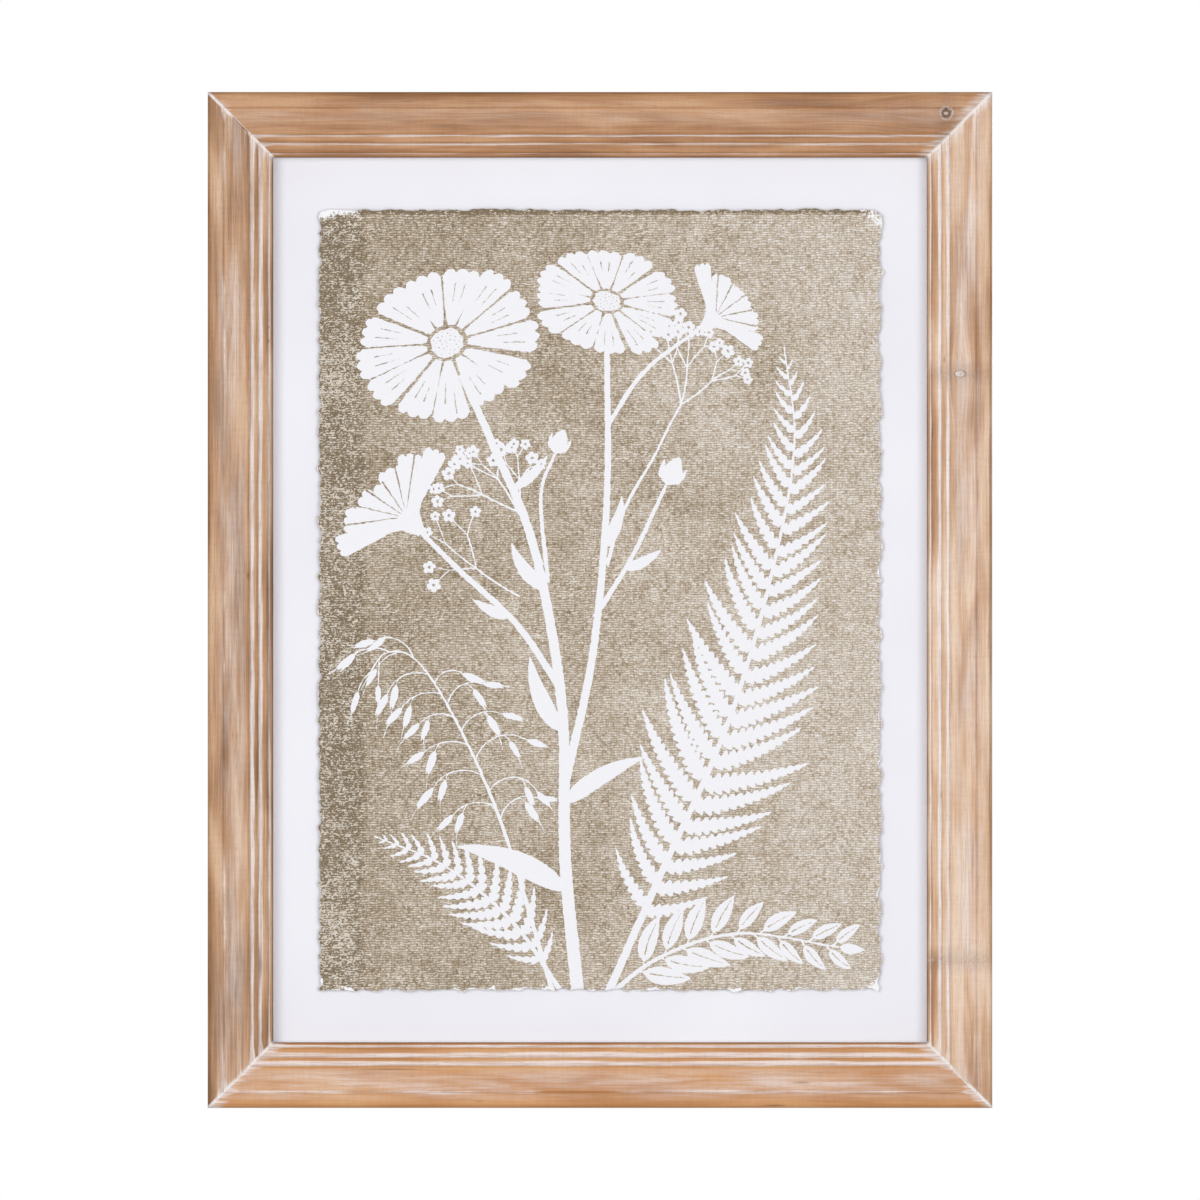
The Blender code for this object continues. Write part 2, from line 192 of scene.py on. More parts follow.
def linear(hex_colour):
    """An sRGB hex value as a linear colour with its alpha."""
    parts = [int(hex_colour[i : i + 2], 16) / 255 for i in (0, 2, 4)]
    return [c / 12.92 if c <= 0.04045 else ((c + 0.055) / 1.055) ** 2.4 for c in parts] + [1.0]


def add(tree, kind, feed=None, out=0, stops=(), **settings):
    """Adds a node and returns one of its outputs.

    feed fills its inputs with values or links, and stops fills its ramp with places and hex colours.
    """
    made = tree.nodes.new(kind)
    for key, value in settings.items():
        setattr(made, key, value)
    for key, value in (feed or {}).items():
        if isinstance(value, bpy.types.NodeSocket):
            tree.links.new(value, made.inputs[key])
        else:
            made.inputs[key].default_value = value
    for i, (place, colour) in enumerate(stops):
        ramp = made.color_ramp.elements
        stop = ramp[i] if i < 2 else ramp.new(place)
        stop.position, stop.color = place, linear(colour)
    return made.outputs[out] if made.outputs else made


def new_material(name):
    """An empty node material, as (material, its tree)."""
    material = bpy.data.materials.new(name)
    material.use_nodes = True
    material.node_tree.nodes.clear()
    return material, material.node_tree


def close_material(tree, height, depth, feed):
    """Ends a tree in one surface shader, with a height field for its bump. A height of 1 stands for depth."""
    if height is not None:
        feed["Normal"] = add(tree, "ShaderNodeBump", {"Strength": 1.0, "Distance": depth, "Height": height})
    shader = add(tree, "ShaderNodeBsdfPrincipled", feed)
    add(tree, "ShaderNodeOutputMaterial", {"Surface": shader})


def whitewashed_fir(name, wood, wash_colours, rubbed, veiled, pooled, start, knots, dark_and_shade_marks):
    """Fir, run through a moulder, stained, brushed with thin white paint and sanded back by hand.

    The grain runs along each rail as soft fine streaks. White paint stays on the treads and in the grooves,
    and as a thin veil on the band. The noses are rubbed down to bare wood.
    """
    material, tree = new_material(name)
    grain_map = add(tree, "ShaderNodeUVMap", uv_map="grain")
    split = add(tree, "ShaderNodeSeparateXYZ", {0: grain_map}).node
    along, outwards = split.outputs[0], split.outputs[1]
    wash, veil, worn, mitre = (
        add(tree, "ShaderNodeAttribute", out=2, attribute_name=title)
        for title in ("wash", "veil", "worn", "mitre")
    )

    # The grain parts round each knot, and is smudged beside it. A knot is full of paint, with a thin dark rim
    # and perhaps a dark heart
    across = outwards
    ragged = add(tree, "ShaderNodeTexNoise", {"Vector": grain_map, "Scale": 700.0, "Detail": 2.0})
    uneven = add(tree, "ShaderNodeMath", {0: ragged, 1: 0.5}, operation="SUBTRACT")
    knot_dark, knot_paint = 0.0, 0.0
    for knot_along, knot_across, size, heart, squeeze in knots:
        off = add(tree, "ShaderNodeMath", {0: along, 1: knot_along * MM}, operation="SUBTRACT")
        side = add(tree, "ShaderNodeMath", {0: across, 1: knot_across * MM}, operation="SUBTRACT")
        squeezed = add(tree, "ShaderNodeMath", {0: off, 1: squeeze}, operation="MULTIPLY")
        spot = add(tree, "ShaderNodeCombineXYZ", {0: squeezed, 1: side})
        away = add(tree, "ShaderNodeVectorMath", {0: spot}, out=1, operation="LENGTH")
        away = add(tree, "ShaderNodeMath", {0: uneven, 1: 0.42 * size * MM, 2: away},
                   operation="MULTIPLY_ADD")
        from_rim = add(tree, "ShaderNodeMath", {0: away, 1: size / 2 * MM}, operation="SUBTRACT")
        from_rim = add(tree, "ShaderNodeMath", {0: from_rim}, operation="ABSOLUTE")
        rim = add(tree, "ShaderNodeMapRange", {0: from_rim, 1: 0.15 * MM, 2: 0.6 * MM,
                                               3: 0.25 if heart else 0.62, 4: 0.0})
        core = add(tree, "ShaderNodeMapRange", {0: away, 1: heart * 0.36 * MM, 2: heart * 0.58 * MM + 1e-6,
                                                3: 0.9 if heart else 0.0, 4: 0.0})
        sideways = add(tree, "ShaderNodeMath", {0: off}, operation="ABSOLUTE")
        smudge = add(tree, "ShaderNodeMapRange", {0: sideways, 1: 1 * MM, 2: 9 * MM, 3: 0.45, 4: 0.0})
        for layer in (ragged, worn):
            smudge = add(tree, "ShaderNodeMath", {0: smudge, 1: layer}, operation="MULTIPLY")
        if heart:
            chip = add(tree, "ShaderNodeMapRange", {0: away, 1: 0.5 * MM, 2: 1.3 * MM, 3: 0.15, 4: 1.0})
            core = add(tree, "ShaderNodeMath", {0: core, 1: chip}, operation="MULTIPLY")
        for layer in (rim, core, smudge):
            knot_dark = add(tree, "ShaderNodeMath", {0: layer, 1: knot_dark}, operation="MAXIMUM")
        filling = add(tree, "ShaderNodeMapRange", {0: away, 1: size * 0.42 * MM, 2: size * 0.5 * MM,
                                                   3: 0.7 if heart else 0.95, 4: 0.0})
        knot_paint = add(tree, "ShaderNodeMath", {0: filling, 1: knot_paint}, operation="MAXIMUM")
        drawn = add(tree, "ShaderNodeMath", {0: off, 1: 0.3}, operation="MULTIPLY")
        flow = add(tree, "ShaderNodeCombineXYZ", {0: drawn, 1: side})
        flow = add(tree, "ShaderNodeVectorMath", {0: flow}, out=1, operation="LENGTH")
        pull = add(tree, "ShaderNodeMapRange", {0: flow, 1: 0.0, 2: size * 2.0 * MM, 3: 0.85, 4: 0.0},
                   interpolation_type="SMOOTHSTEP")
        pull = add(tree, "ShaderNodeMath", {0: pull, 1: side}, operation="MULTIPLY")
        across = add(tree, "ShaderNodeMath", {0: across, 1: pull}, operation="SUBTRACT")

    def streaks(per_m_along, per_m_across, seed, detail=2.0):
        """Noise drawn out along the grain, with about so many blots to a metre along it and across it."""
        point = add(tree, "ShaderNodeCombineXYZ", {0: along, 1: across})
        per_m, shift = (per_m_along, per_m_across, 0.0), (start, seed, start * 0.37)
        point = add(tree, "ShaderNodeVectorMath", {0: point, 1: per_m, 2: shift}, operation="MULTIPLY_ADD")
        return add(tree, "ShaderNodeTexNoise", {"Vector": point, "Scale": 1.0, "Detail": detail,
                                                "Distortion": 0.25})

    # Growth rings about 4 mm apart, fibres about 1 mm, and slow drifts of the stain
    rings = streaks(6.0, 190.0, 1.0, 1.5)
    fibres = streaks(30.0, 1300.0, 5.0, 3.0)
    drift = streaks(13.0, 60.0, 9.0)
    clouds = streaks(17.0, 95.0, 27.0, 3.0)
    brush = streaks(34.0, 900.0, 13.0, 3.0)
    tone = 0.0
    for layer, weight in ((rings, 0.26), (fibres, 0.24), (drift, 0.5)):
        tone = add(tree, "ShaderNodeMath", {0: layer, 1: weight, 2: tone}, operation="MULTIPLY_ADD")
    bare = add(tree, "ShaderNodeValToRGB", {0: tone}, stops=zip((0.4, 0.5, 0.6), wood))

    # Stripes of paint with crisp edges that wander a little, and the veil, broken up by the brush
    edge = wash
    beside = add(tree, "ShaderNodeMapRange", {0: mitre, 1: 0.0, 2: 9 * MM, 3: 0.36, 4: 0.0})
    for layer, weight in ((brush, 0.35), (drift, 0.35), (clouds, 0.6), (beside, 1.0)):
        edge = add(tree, "ShaderNodeMath", {0: layer, 1: weight, 2: edge}, operation="MULTIPLY_ADD")
    stripe = add(tree, "ShaderNodeMapRange", {0: edge, 1: rubbed + 0.56, 2: rubbed + 0.82, 3: 0.0, 4: 0.92},
                 interpolation_type="SMOOTHSTEP")
    thin = add(tree, "ShaderNodeMath", {0: brush, 1: 0.4}, operation="MULTIPLY")
    thin = add(tree, "ShaderNodeMath", {0: clouds, 1: 1.1, 2: thin}, operation="MULTIPLY_ADD")
    thin = add(tree, "ShaderNodeMapRange", {0: thin, 1: 0.6, 2: 0.94, 3: 0.05, 4: veiled * 1.15})
    thin = add(tree, "ShaderNodeMath", {0: thin, 1: veil}, operation="MULTIPLY")
    cover = add(tree, "ShaderNodeMath", {0: stripe, 1: thin}, operation="MAXIMUM")

    # Paint fills each mitre in its outer third and across the steps, and pools beside it. Between, it is open
    outer = add(tree, "ShaderNodeMapRange",
                {0: outwards, 1: FILLED_OUTER[0], 2: FILLED_OUTER[1], 3: 0.0, 4: 1.0})
    inner = add(tree, "ShaderNodeMapRange",
                {0: outwards, 1: FILLED_INNER[0], 2: FILLED_INNER[1], 3: 1.0, 4: 0.0})
    patchy = add(tree, "ShaderNodeMapRange", {0: along, 1: -MM, 2: MM, 3: pooled[0] - 1, 4: pooled[1] - 1})
    patchy = add(tree, "ShaderNodeMath", {0: drift, 1: 2.0, 2: patchy}, operation="MULTIPLY_ADD")
    filled = add(tree, "ShaderNodeMath", {0: outer, 1: inner}, operation="ADD")
    filled = add(tree, "ShaderNodeMath", {0: filled, 1: patchy}, operation="ADD", use_clamp=True)
    filled = add(tree, "ShaderNodeMath", {0: filled, 1: worn}, operation="MULTIPLY")
    joint = add(tree, "ShaderNodeMapRange", {0: mitre, 1: 0.7 * MM, 2: 1.4 * MM, 3: 1.0, 4: 0.0})
    joint = add(tree, "ShaderNodeMath", {0: joint, 1: filled}, operation="MULTIPLY")
    pool = add(tree, "ShaderNodeMapRange", {0: mitre, 1: 0.0, 2: 13 * MM, 3: 1.7, 4: 0.0})
    for layer in (brush, patchy, filled):
        pool = add(tree, "ShaderNodeMath", {0: pool, 1: layer}, operation="MULTIPLY")
    pool = add(tree, "ShaderNodeMapRange", {0: pool, 1: 0.3, 2: 0.75, 3: 0.0, 4: 0.85})
    for layer in (joint, pool, knot_paint):
        cover = add(tree, "ShaderNodeMath", {0: layer, 1: cover}, operation="MAXIMUM")
    paint = add(tree, "ShaderNodeValToRGB", {0: brush}, stops=zip((0.38, 0.6), wash_colours))
    face = add(tree, "ShaderNodeMix", {0: cover, 6: bare, 7: paint}, out=2, data_type="RGBA")
    line = add(tree, "ShaderNodeMath", {0: joint, 1: 0.7}, operation="MULTIPLY")
    face = add(tree, "ShaderNodeMix", {0: line, 6: face, 7: linear(FILLER)}, out=2, data_type="RGBA")

    # Short pores along the grain, and faint ticks across it where planer and sander chattered
    pores = streaks(150.0, 2400.0, 17.0, 1.0)
    pores = add(tree, "ShaderNodeMapRange", {0: pores, 1: 0.62, 2: 0.74, 3: 0.0, 4: 0.45})
    face = add(tree, "ShaderNodeMix", {0: pores, 6: face, 7: linear(wood[0])}, out=2, data_type="RGBA")
    ticks = streaks(620.0, 90.0, 21.0, 2.0)
    ticks = add(tree, "ShaderNodeMapRange", {0: ticks, 1: 0.3, 2: 0.7, 3: 0.965, 4: 1.035})
    face = add(tree, "ShaderNodeVectorMath", {0: face, "Scale": ticks}, operation="SCALE")

    # Dark at the sight edge, partly its bare arris and partly painted shade where the lip drops to the glass,
    # the open line of each mitre, knots, and stray dark marks, of which the long ones are painted shade
    arris_and_shade = add(tree, "ShaderNodeMapRange", {0: outwards, 1: 0.3 * MM, 2: 1.5 * MM, 3: 0.6, 4: 0.0})
    shut = add(tree, "ShaderNodeMapRange", {0: mitre, 1: 0.25 * MM, 2: 0.6 * MM, 3: 0.8, 4: 0.0})
    shut = add(tree, "ShaderNodeMath", {0: shut, 1: filled}, operation="SUBTRACT")
    dark_wood_and_shade = arris_and_shade
    for layer in (shut, knot_dark):
        dark_wood_and_shade = add(tree, "ShaderNodeMath", {0: dark_wood_and_shade, 1: layer}, operation="MAXIMUM")
    # The long marks on the left rail's lip and along the right rail's outer round paint shade, not marks in
    # the wood
    for mark_along, mark_across, length, width in dark_and_shade_marks:
        middle, per_m = (mark_along * MM, mark_across * MM, 0.0), (2 / length / MM, 2 / width / MM, 0.0)
        spot = add(tree, "ShaderNodeVectorMath", {0: grain_map, 1: middle}, operation="SUBTRACT")
        spot = add(tree, "ShaderNodeVectorMath", {0: spot, 1: per_m}, operation="MULTIPLY")
        spot = add(tree, "ShaderNodeVectorMath", {0: spot}, out=1, operation="LENGTH")
        spot = add(tree, "ShaderNodeMath", {0: fibres, 1: 1.4, 2: spot}, operation="MULTIPLY_ADD")
        spot = add(tree, "ShaderNodeMapRange", {0: spot, 1: 0.8, 2: 1.7, 3: 0.55, 4: 0.0})
        dark_wood_and_shade = add(tree, "ShaderNodeMath", {0: dark_wood_and_shade, 1: spot}, operation="MAXIMUM")
    face = add(tree, "ShaderNodeMix", {0: dark_wood_and_shade, 6: face, 7: linear(DARK_WOOD_AND_SHADE)}, out=2, data_type="RGBA")

    height = cover
    for layer, weight in ((fibres, 0.5), (rings, 0.6)):
        height = add(tree, "ShaderNodeMath", {0: layer, 1: weight, 2: height}, operation="MULTIPLY_ADD")
    dull = add(tree, "ShaderNodeMapRange", {0: cover, 1: 0.0, 2: 1.0, 3: 0.52, 4: 0.72})
    close_material(tree, height, 0.08 * MM,
                   {"Base Color": face, "Roughness": dull, "Specular IOR Level": 0.35})
    return material


def linen_finish_paper(name, printed):
    """Heavy white paper, printed all over in worn taupe with an embossed linen finish, its edges torn.

    Threads run both ways, the cross ones stronger, each brighter and darker along its length. Where the skin
    is torn off or rubbed through, the white core shows. With printed, the face is white ink over the weave.
    """
    material, tree = new_material(name)
    place = add(tree, "ShaderNodeTexCoord", out=3)
    split = add(tree, "ShaderNodeSeparateXYZ", {0: place}).node
    right, up = split.outputs[0], split.outputs[2]
    torn = add(tree, "ShaderNodeAttribute", out=2, attribute_name="torn")

    def cloud(per_m, seed, detail=3.0, sideways=1.0):
        """Noise with about so many blots to a metre, drawn out along the weft where sideways is under 1."""
        drawn, shift = (sideways, 1.0, 1.0), (seed, 0.0, seed * 0.7)
        point = add(tree, "ShaderNodeVectorMath", {0: place, 1: drawn, 2: shift}, operation="MULTIPLY_ADD")
        return add(tree, "ShaderNodeTexNoise", {"Vector": point, "Scale": per_m, "Detail": detail,
                                                "Roughness": 0.6})

    def threads(run, cross, spacing, per_m_run, seed):
        """Rows of threads, from 0 to 1. Each row has its own light and dark stretches, and a round back."""
        wobble = add(tree, "ShaderNodeMath", {0: cloud(150.0, seed, 2.0), 1: 2.0}, operation="MULTIPLY")
        rows = add(tree, "ShaderNodeMath", {0: cross, 1: 1 / spacing, 2: wobble}, operation="MULTIPLY_ADD")
        number = add(tree, "ShaderNodeMath", {0: rows}, operation="FLOOR")
        part = add(tree, "ShaderNodeMath", {0: rows}, operation="FRACT")
        part = add(tree, "ShaderNodeMath", {0: part, 1: math.pi}, operation="MULTIPLY")
        back = add(tree, "ShaderNodeMath", {0: part}, operation="SINE")
        step = add(tree, "ShaderNodeMath", {0: number, 1: 7.31}, operation="MULTIPLY")
        stretch = add(tree, "ShaderNodeMath", {0: run, 1: per_m_run}, operation="MULTIPLY")
        point = add(tree, "ShaderNodeCombineXYZ", {0: stretch, 1: step, 2: seed})
        along = add(tree, "ShaderNodeTexNoise",
                    {"Vector": point, "Scale": 1.0, "Detail": 2.0, "Roughness": 0.65})
        along = add(tree, "ShaderNodeMapRange", {0: along, 1: 0.3, 2: 0.7, 3: 0.0, 4: 1.0})
        return add(tree, "ShaderNodeMath", {0: back, 1: along}, operation="MULTIPLY")

    weft = threads(right, up, WEFT_SPACING, 470.0, 2.0)
    warp = threads(up, right, WARP_SPACING, 420.0, 11.0)
    weave = add(tree, "ShaderNodeMath", {0: weft, 1: 0.78}, operation="MULTIPLY")
    weave = add(tree, "ShaderNodeMath", {0: warp, 1: 0.22, 2: weave}, operation="MULTIPLY_ADD")

    # Cloudy wear, lighter towards the right
    tone = -0.008
    for layer, weight in (
        (weave, 0.54), (cloud(16.0, 1.0), 0.24), (cloud(75.0, 7.0, 2.0), 0.2),
        (cloud(900.0, 4.0, 2.0, 0.42), 0.27), (right, 0.48),
    ):
        tone = add(tree, "ShaderNodeMath", {0: layer, 1: weight, 2: tone}, operation="MULTIPLY_ADD")

    # Dark along the top and where the left strip was folded, on a line that wanders
    wander = cloud(60.0, 50.0, 2.0)
    wander = add(tree, "ShaderNodeMath", {0: wander, 1: 8 * MM, 2: -4 * MM}, operation="MULTIPLY_ADD")
    from_left = add(tree, "ShaderNodeMath", {0: right, 1: wander}, operation="ADD")
    from_middle = add(tree, "ShaderNodeMath", {0: up, 1: MIDDLE_Z}, operation="SUBTRACT")
    for on, fold in ((from_middle, TOP_FADE), (from_middle, TOP_LINE), (from_left, LEFT_FOLD)):
        darker, start, end = fold
        fade = add(tree, "ShaderNodeMapRange", {0: on, 1: start * MM, 2: end * MM, 3: 0.0, 4: darker})
        tone = add(tree, "ShaderNodeMath", {0: tone, 1: fade}, operation="ADD")

    # The crease: the sheet is not folded there, so a thin dark line of painted shade stands for it, fading
    # out at its ends
    a, b = (end * MM for end in CREASE)
    run, reach = (b - a).normalized(), (b - a).length
    middle = (a + b) / 2 + Vector((0, 0, MIDDLE_Z))
    local = add(tree, "ShaderNodeVectorMath", {0: place, 1: middle}, operation="SUBTRACT")
    off_along, off_across = (
        add(tree, "ShaderNodeVectorMath", {0: local, 1: way}, out=1, operation="DOT_PRODUCT")
        for way in (run, (run.z, 0, -run.x))
    )
    off_along = add(tree, "ShaderNodeMath", {0: off_along}, operation="ABSOLUTE")
    off_across = add(tree, "ShaderNodeMath", {0: off_across}, operation="ABSOLUTE")
    ends = add(tree, "ShaderNodeMapRange", {0: off_along, 1: reach * 0.3, 2: reach * 0.5, 3: 1.0, 4: 0.0})
    line = add(tree, "ShaderNodeMapRange", {0: off_across, 1: 0.15 * MM, 2: 0.6 * MM, 3: -0.16, 4: 0.0})
    tone = add(tree, "ShaderNodeMath", {0: line, 1: ends, 2: tone}, operation="MULTIPLY_ADD")
    ground = add(tree, "ShaderNodeValToRGB", {0: tone}, stops=LINEN_COLOURS)

    # Scuffs: short pale strokes every way, thick in a strip at the left, and pale dashes along single threads
    scuffed, start, full = SCUFFED_STRIP
    strip = add(tree, "ShaderNodeMapRange", {0: from_left, 1: full * MM, 2: start * MM, 3: scuffed, 4: 0.0})
    drawn = add(tree, "ShaderNodeVectorMath", {0: place, 1: (0.6, 1.0, 1.0)}, operation="MULTIPLY")
    scuff = add(tree, "ShaderNodeTexNoise",
                {"Vector": drawn, "Scale": 620.0, "Detail": 1.0, "Distortion": 1.9})
    rub = strip
    for layer, weight in ((scuff, 1.0), (cloud(38.0, 15.0, 2.0), 0.3), (weft, 0.18)):
        rub = add(tree, "ShaderNodeMath", {0: layer, 1: weight, 2: rub}, operation="MULTIPLY_ADD")
    rub = add(tree, "ShaderNodeMapRange", {0: rub, 1: 0.815, 2: 0.895, 3: 0.0, 4: 0.8})
    face = add(tree, "ShaderNodeMix", {0: rub, 6: ground, 7: linear(RUBBED)}, out=2, data_type="RGBA")
    if printed:
        missed = add(tree, "ShaderNodeMath", {0: cloud(520.0, 21.0, 2.0), 1: weave}, operation="SUBTRACT")
        missed = add(tree, "ShaderNodeMapRange", {0: missed, 1: 0.6, 2: 0.7, 3: 0.0, 4: 0.5})
        face = add(tree, "ShaderNodeMix", {0: missed, 6: linear(SCREEN_INK), 7: face}, out=2,
                   data_type="RGBA")

    # The torn rim, ragged by the paper's fibres
    fibres = cloud(700.0, 30.0)
    fibres = add(tree, "ShaderNodeMath", {0: fibres, 1: 2.2, 2: -1.1}, operation="MULTIPLY_ADD")
    core = add(tree, "ShaderNodeMath", {0: torn, 1: fibres}, operation="ADD")
    core = add(tree, "ShaderNodeMapRange", {0: core, 1: -0.08, 2: 0.18, 3: 0.0, 4: 1.0})
    face = add(tree, "ShaderNodeMix", {0: core, 6: face, 7: linear(PAPER_CORE)}, out=2, data_type="RGBA")
    height = cloud(1300.0, 41.0, 1.0)
    height = add(tree, "ShaderNodeMath", {0: height, 1: 0.35, 2: weave}, operation="MULTIPLY_ADD")
    close_material(tree, height, (0.06 if printed else 0.14) * MM,
                   {"Base Color": face, "Roughness": 0.88, "Specular IOR Level": 0.2})
    return material


def paper_fibre(name):
    """Cotton and wood fibres torn out of heavy paper: matt white."""
    material, tree = new_material(name)
    place = add(tree, "ShaderNodeTexCoord", out=3)
    soil = add(tree, "ShaderNodeTexNoise", {"Vector": place, "Scale": 90.0, "Detail": 2.0})
    face = add(tree, "ShaderNodeValToRGB", {0: soil}, stops=[(0.4, "D9D2C6"), (0.6, PAPER_CORE)])
    close_material(tree, None, 0.0, {"Base Color": face, "Roughness": 0.9, "Specular IOR Level": 0.2})
    return material


def mount_board(name):
    """White cotton board: matt, all but flat in tone, with a fine tooth."""
    material, tree = new_material(name)
    place = add(tree, "ShaderNodeTexCoord", out=3)
    tooth = add(tree, "ShaderNodeTexNoise", {"Vector": place, "Scale": 1400.0, "Detail": 2.0})
    soft = add(tree, "ShaderNodeTexNoise", {"Vector": place, "Scale": 9.0, "Detail": 2.0})
    face = add(tree, "ShaderNodeValToRGB", {0: soft}, stops=zip((0.3, 0.7), BOARD))
    close_material(tree, tooth, 0.03 * MM, {"Base Color": face, "Roughness": 0.92, "Specular IOR Level": 0.2})
    return material


def float_glass(name):
    """Plain 2 mm picture glass, polished both sides."""
    material, tree = new_material(name)
    close_material(tree, None, 0.0, {"Base Color": linear("FDFEFD"), "Roughness": 0.0, "IOR": 1.5,
                                     "Transmission Weight": 1.0})
    return material


def foam_board(name):
    """Extruded foam between paper liners: its cut edge shows fine cells."""
    material, tree = new_material(name)
    place = add(tree, "ShaderNodeTexCoord", out=3)
    cells = add(tree, "ShaderNodeTexVoronoi", {"Vector": place, "Scale": 1600.0})
    face = add(tree, "ShaderNodeValToRGB", {0: cells}, stops=[(0.0, "E9E9E6"), (0.8, "F4F4F1")])
    close_material(tree, cells, 0.05 * MM, {"Base Color": face, "Roughness": 0.9})
    return material


def hardboard(name):
    """Pressed wood fibre: a smooth brown face, with darker fibre bundles and a few light chips."""
    material, tree = new_material(name)
    place = add(tree, "ShaderNodeTexCoord", out=3)
    blots = add(tree, "ShaderNodeTexNoise", {"Vector": place, "Scale": 14.0, "Detail": 4.0, "Roughness": 0.6})
    fine = add(tree, "ShaderNodeTexNoise", {"Vector": place, "Scale": 650.0, "Detail": 3.0, "Roughness": 0.7,
                                            "Distortion": 1.2})
    tone = add(tree, "ShaderNodeMath", {0: blots, 1: 0.16}, operation="MULTIPLY")
    tone = add(tree, "ShaderNodeMath", {0: fine, 1: 0.84, 2: tone}, operation="MULTIPLY_ADD")
    browns = ((0.34, "5A3D27"), (0.5, "7A5738"), (0.64, "9A7550"))
    face = add(tree, "ShaderNodeValToRGB", {0: tone}, stops=browns)
    close_material(tree, fine, 0.05 * MM, {"Base Color": face, "Roughness": 0.62, "Specular IOR Level": 0.3})
    return material


def zinc_plated_steel(name):
    """Stamped strip steel with bright zinc: cool grey, with faint clouds in the plating."""
    material, tree = new_material(name)
    place = add(tree, "ShaderNodeTexCoord", out=3)
    clouds = add(tree, "ShaderNodeTexNoise", {"Vector": place, "Scale": 700.0, "Detail": 3.0})
    face = add(tree, "ShaderNodeValToRGB", {0: clouds}, stops=[(0.35, "B4B6B8"), (0.65, "CBCDCE")])
    dull = add(tree, "ShaderNodeMapRange", {0: clouds, 1: 0.3, 2: 0.7, 3: 0.26, 4: 0.44})
    close_material(tree, clouds, 0.01 * MM, {"Base Color": face, "Roughness": dull, "Metallic": 1.0})
    return material


def bumper_rubber(name):
    """Moulded grey polyurethane: soft sheen, finely frosted."""
    material, tree = new_material(name)
    place = add(tree, "ShaderNodeTexCoord", out=3)
    frost = add(tree, "ShaderNodeTexNoise", {"Vector": place, "Scale": 2200.0, "Detail": 1.0})
    face = add(tree, "ShaderNodeValToRGB", {0: frost}, stops=[(0.3, "8C8C8A"), (0.7, "9A9A98")])
    close_material(tree, frost, 0.01 * MM, {"Base Color": face, "Roughness": 0.55})
    return material


def quarter(start, end, rising):
    """Points of a quarter ellipse from start to end, without start. A rising one leaves start steeply."""
    points = []
    for i in range(1, ARC_STEPS + 1):
        turn = math.pi / 2 * i / ARC_STEPS
        along, up = (1 - math.cos(turn), math.sin(turn)) if rising else (math.sin(turn), 1 - math.cos(turn))
        points.append((start[0] + (end[0] - start[0]) * along, start[1] + (end[1] - start[1]) * up))
    return points


def laid(out, start, peak, end, thickness):
    """How thick paint lies at a distance outwards, in a stripe with this start, peak and end."""
    return thickness * max(0.0, (out - start) / (peak - start) if out < peak else (end - out) / (end - peak))


def moulding_section():
    """The rail's section as a closed line of edges. Each point carries what the sweep and the wood need."""
    points = [(0.0, LIP_BACK), (0.0, LIP_EDGE_H)]
    points += quarter(points[-1], LIP_CROWN, True)
    for crown, crown_h, groove, groove_h in STEPS:
        points += quarter(points[-1], (groove, groove_h), False)
        points += quarter(points[-1], (crown, crown_h), True)
    band_end = QUIRK_AT - QUIRK_HALF
    for i in range(1, BAND_STEPS + 1):
        share = i / BAND_STEPS
        sag = BAND_HOLLOW * math.sin(math.pi * share)
        points.append((BAND_INNER + (band_end - BAND_INNER) * share, BAND_H - sag))
    points.append((QUIRK_AT, BAND_H - QUIRK_DEPTH))
    points.append((QUIRK_AT + QUIRK_HALF, BAND_H + QUIRK_DEPTH / 2))
    points += quarter(points[-1], (OUTER_CROWN, RAIL_DEPTH), True)
    points.append((FACE_W - OUTER_ROUND, RAIL_DEPTH - 0.2 * MM))
    points += quarter(points[-1], (FACE_W, RAIL_DEPTH - OUTER_ROUND), False)
    face_legs = len(points) - 1
    points += [(FACE_W, BACK_EASE), (FACE_W - BACK_EASE, 0.0), (REBATE_W, 0.0), (REBATE_W, LIP_BACK)]
    facts = {"out": [], "height": [], "girth": [], "wash": [], "veil": [], "worn": []}
    girth = 0.0
    for leg, (a, b) in enumerate(zip(points, points[1:] + points[:1])):
        on_face = leg < face_legs
        length = math.dist(a, b)
        count = max(1, math.ceil(length / (SECTION_STEP if on_face else HIDDEN_STEP)))
        for k in range(count):
            out, height = (a[i] + (b[i] - a[i]) * k / count for i in (0, 1))
            facts["out"].append(out)
            facts["height"].append(height)
            facts["girth"].append(out if on_face else girth)
            facts["wash"].append(max(laid(out, *stripe) for stripe in WASH_STRIPES) if on_face else BACK_WASH)
            veil = laid(out, *VEIL) ** 0.5 if on_face else SIDE_VEIL if leg == face_legs else 0.0
            facts["veil"].append(veil)
            facts["worn"].append(1.0 if on_face and leg > 0 else 0.0)
            girth = facts["girth"][-1] + length / count
    last = len(facts["out"])
    mesh = bpy.data.meshes.new("moulding_section")
    places = [(out, height, 0.0) for out, height in zip(facts["out"], facts["height"])]
    mesh.from_pydata(places, [(i, (i + 1) % last) for i in range(last)], [])
    for name, values in facts.items():
        mesh.attributes.new(name, "FLOAT", "POINT").data.foreach_set("value", values)
    return mesh


def new_tree(name, **inputs):
    """An empty Geometry Nodes tree with a geometry input and these others, as (tree, what they give)."""
    tree = bpy.data.node_groups.new(name, "GeometryNodeTree")
    tree.interface.new_socket("Geometry", in_out="INPUT", socket_type="NodeSocketGeometry")
    tree.interface.new_socket("Geometry", in_out="OUTPUT", socket_type="NodeSocketGeometry")
    for title, kind in inputs.items():
        tree.interface.new_socket(title, in_out="INPUT", socket_type="NodeSocket" + kind)
    return tree, tree.nodes.new("NodeGroupInput").outputs


def end_tree(tree, shape, finish):
    """Ends a tree: instances made real, and the finish set."""
    shape = add(tree, "GeometryNodeRealizeInstances", {0: shape})
    shape = add(tree, "GeometryNodeSetMaterial", {"Geometry": shape, "Material": finish})
    tree.links.new(shape, tree.nodes.new("NodeGroupOutput").inputs[0])


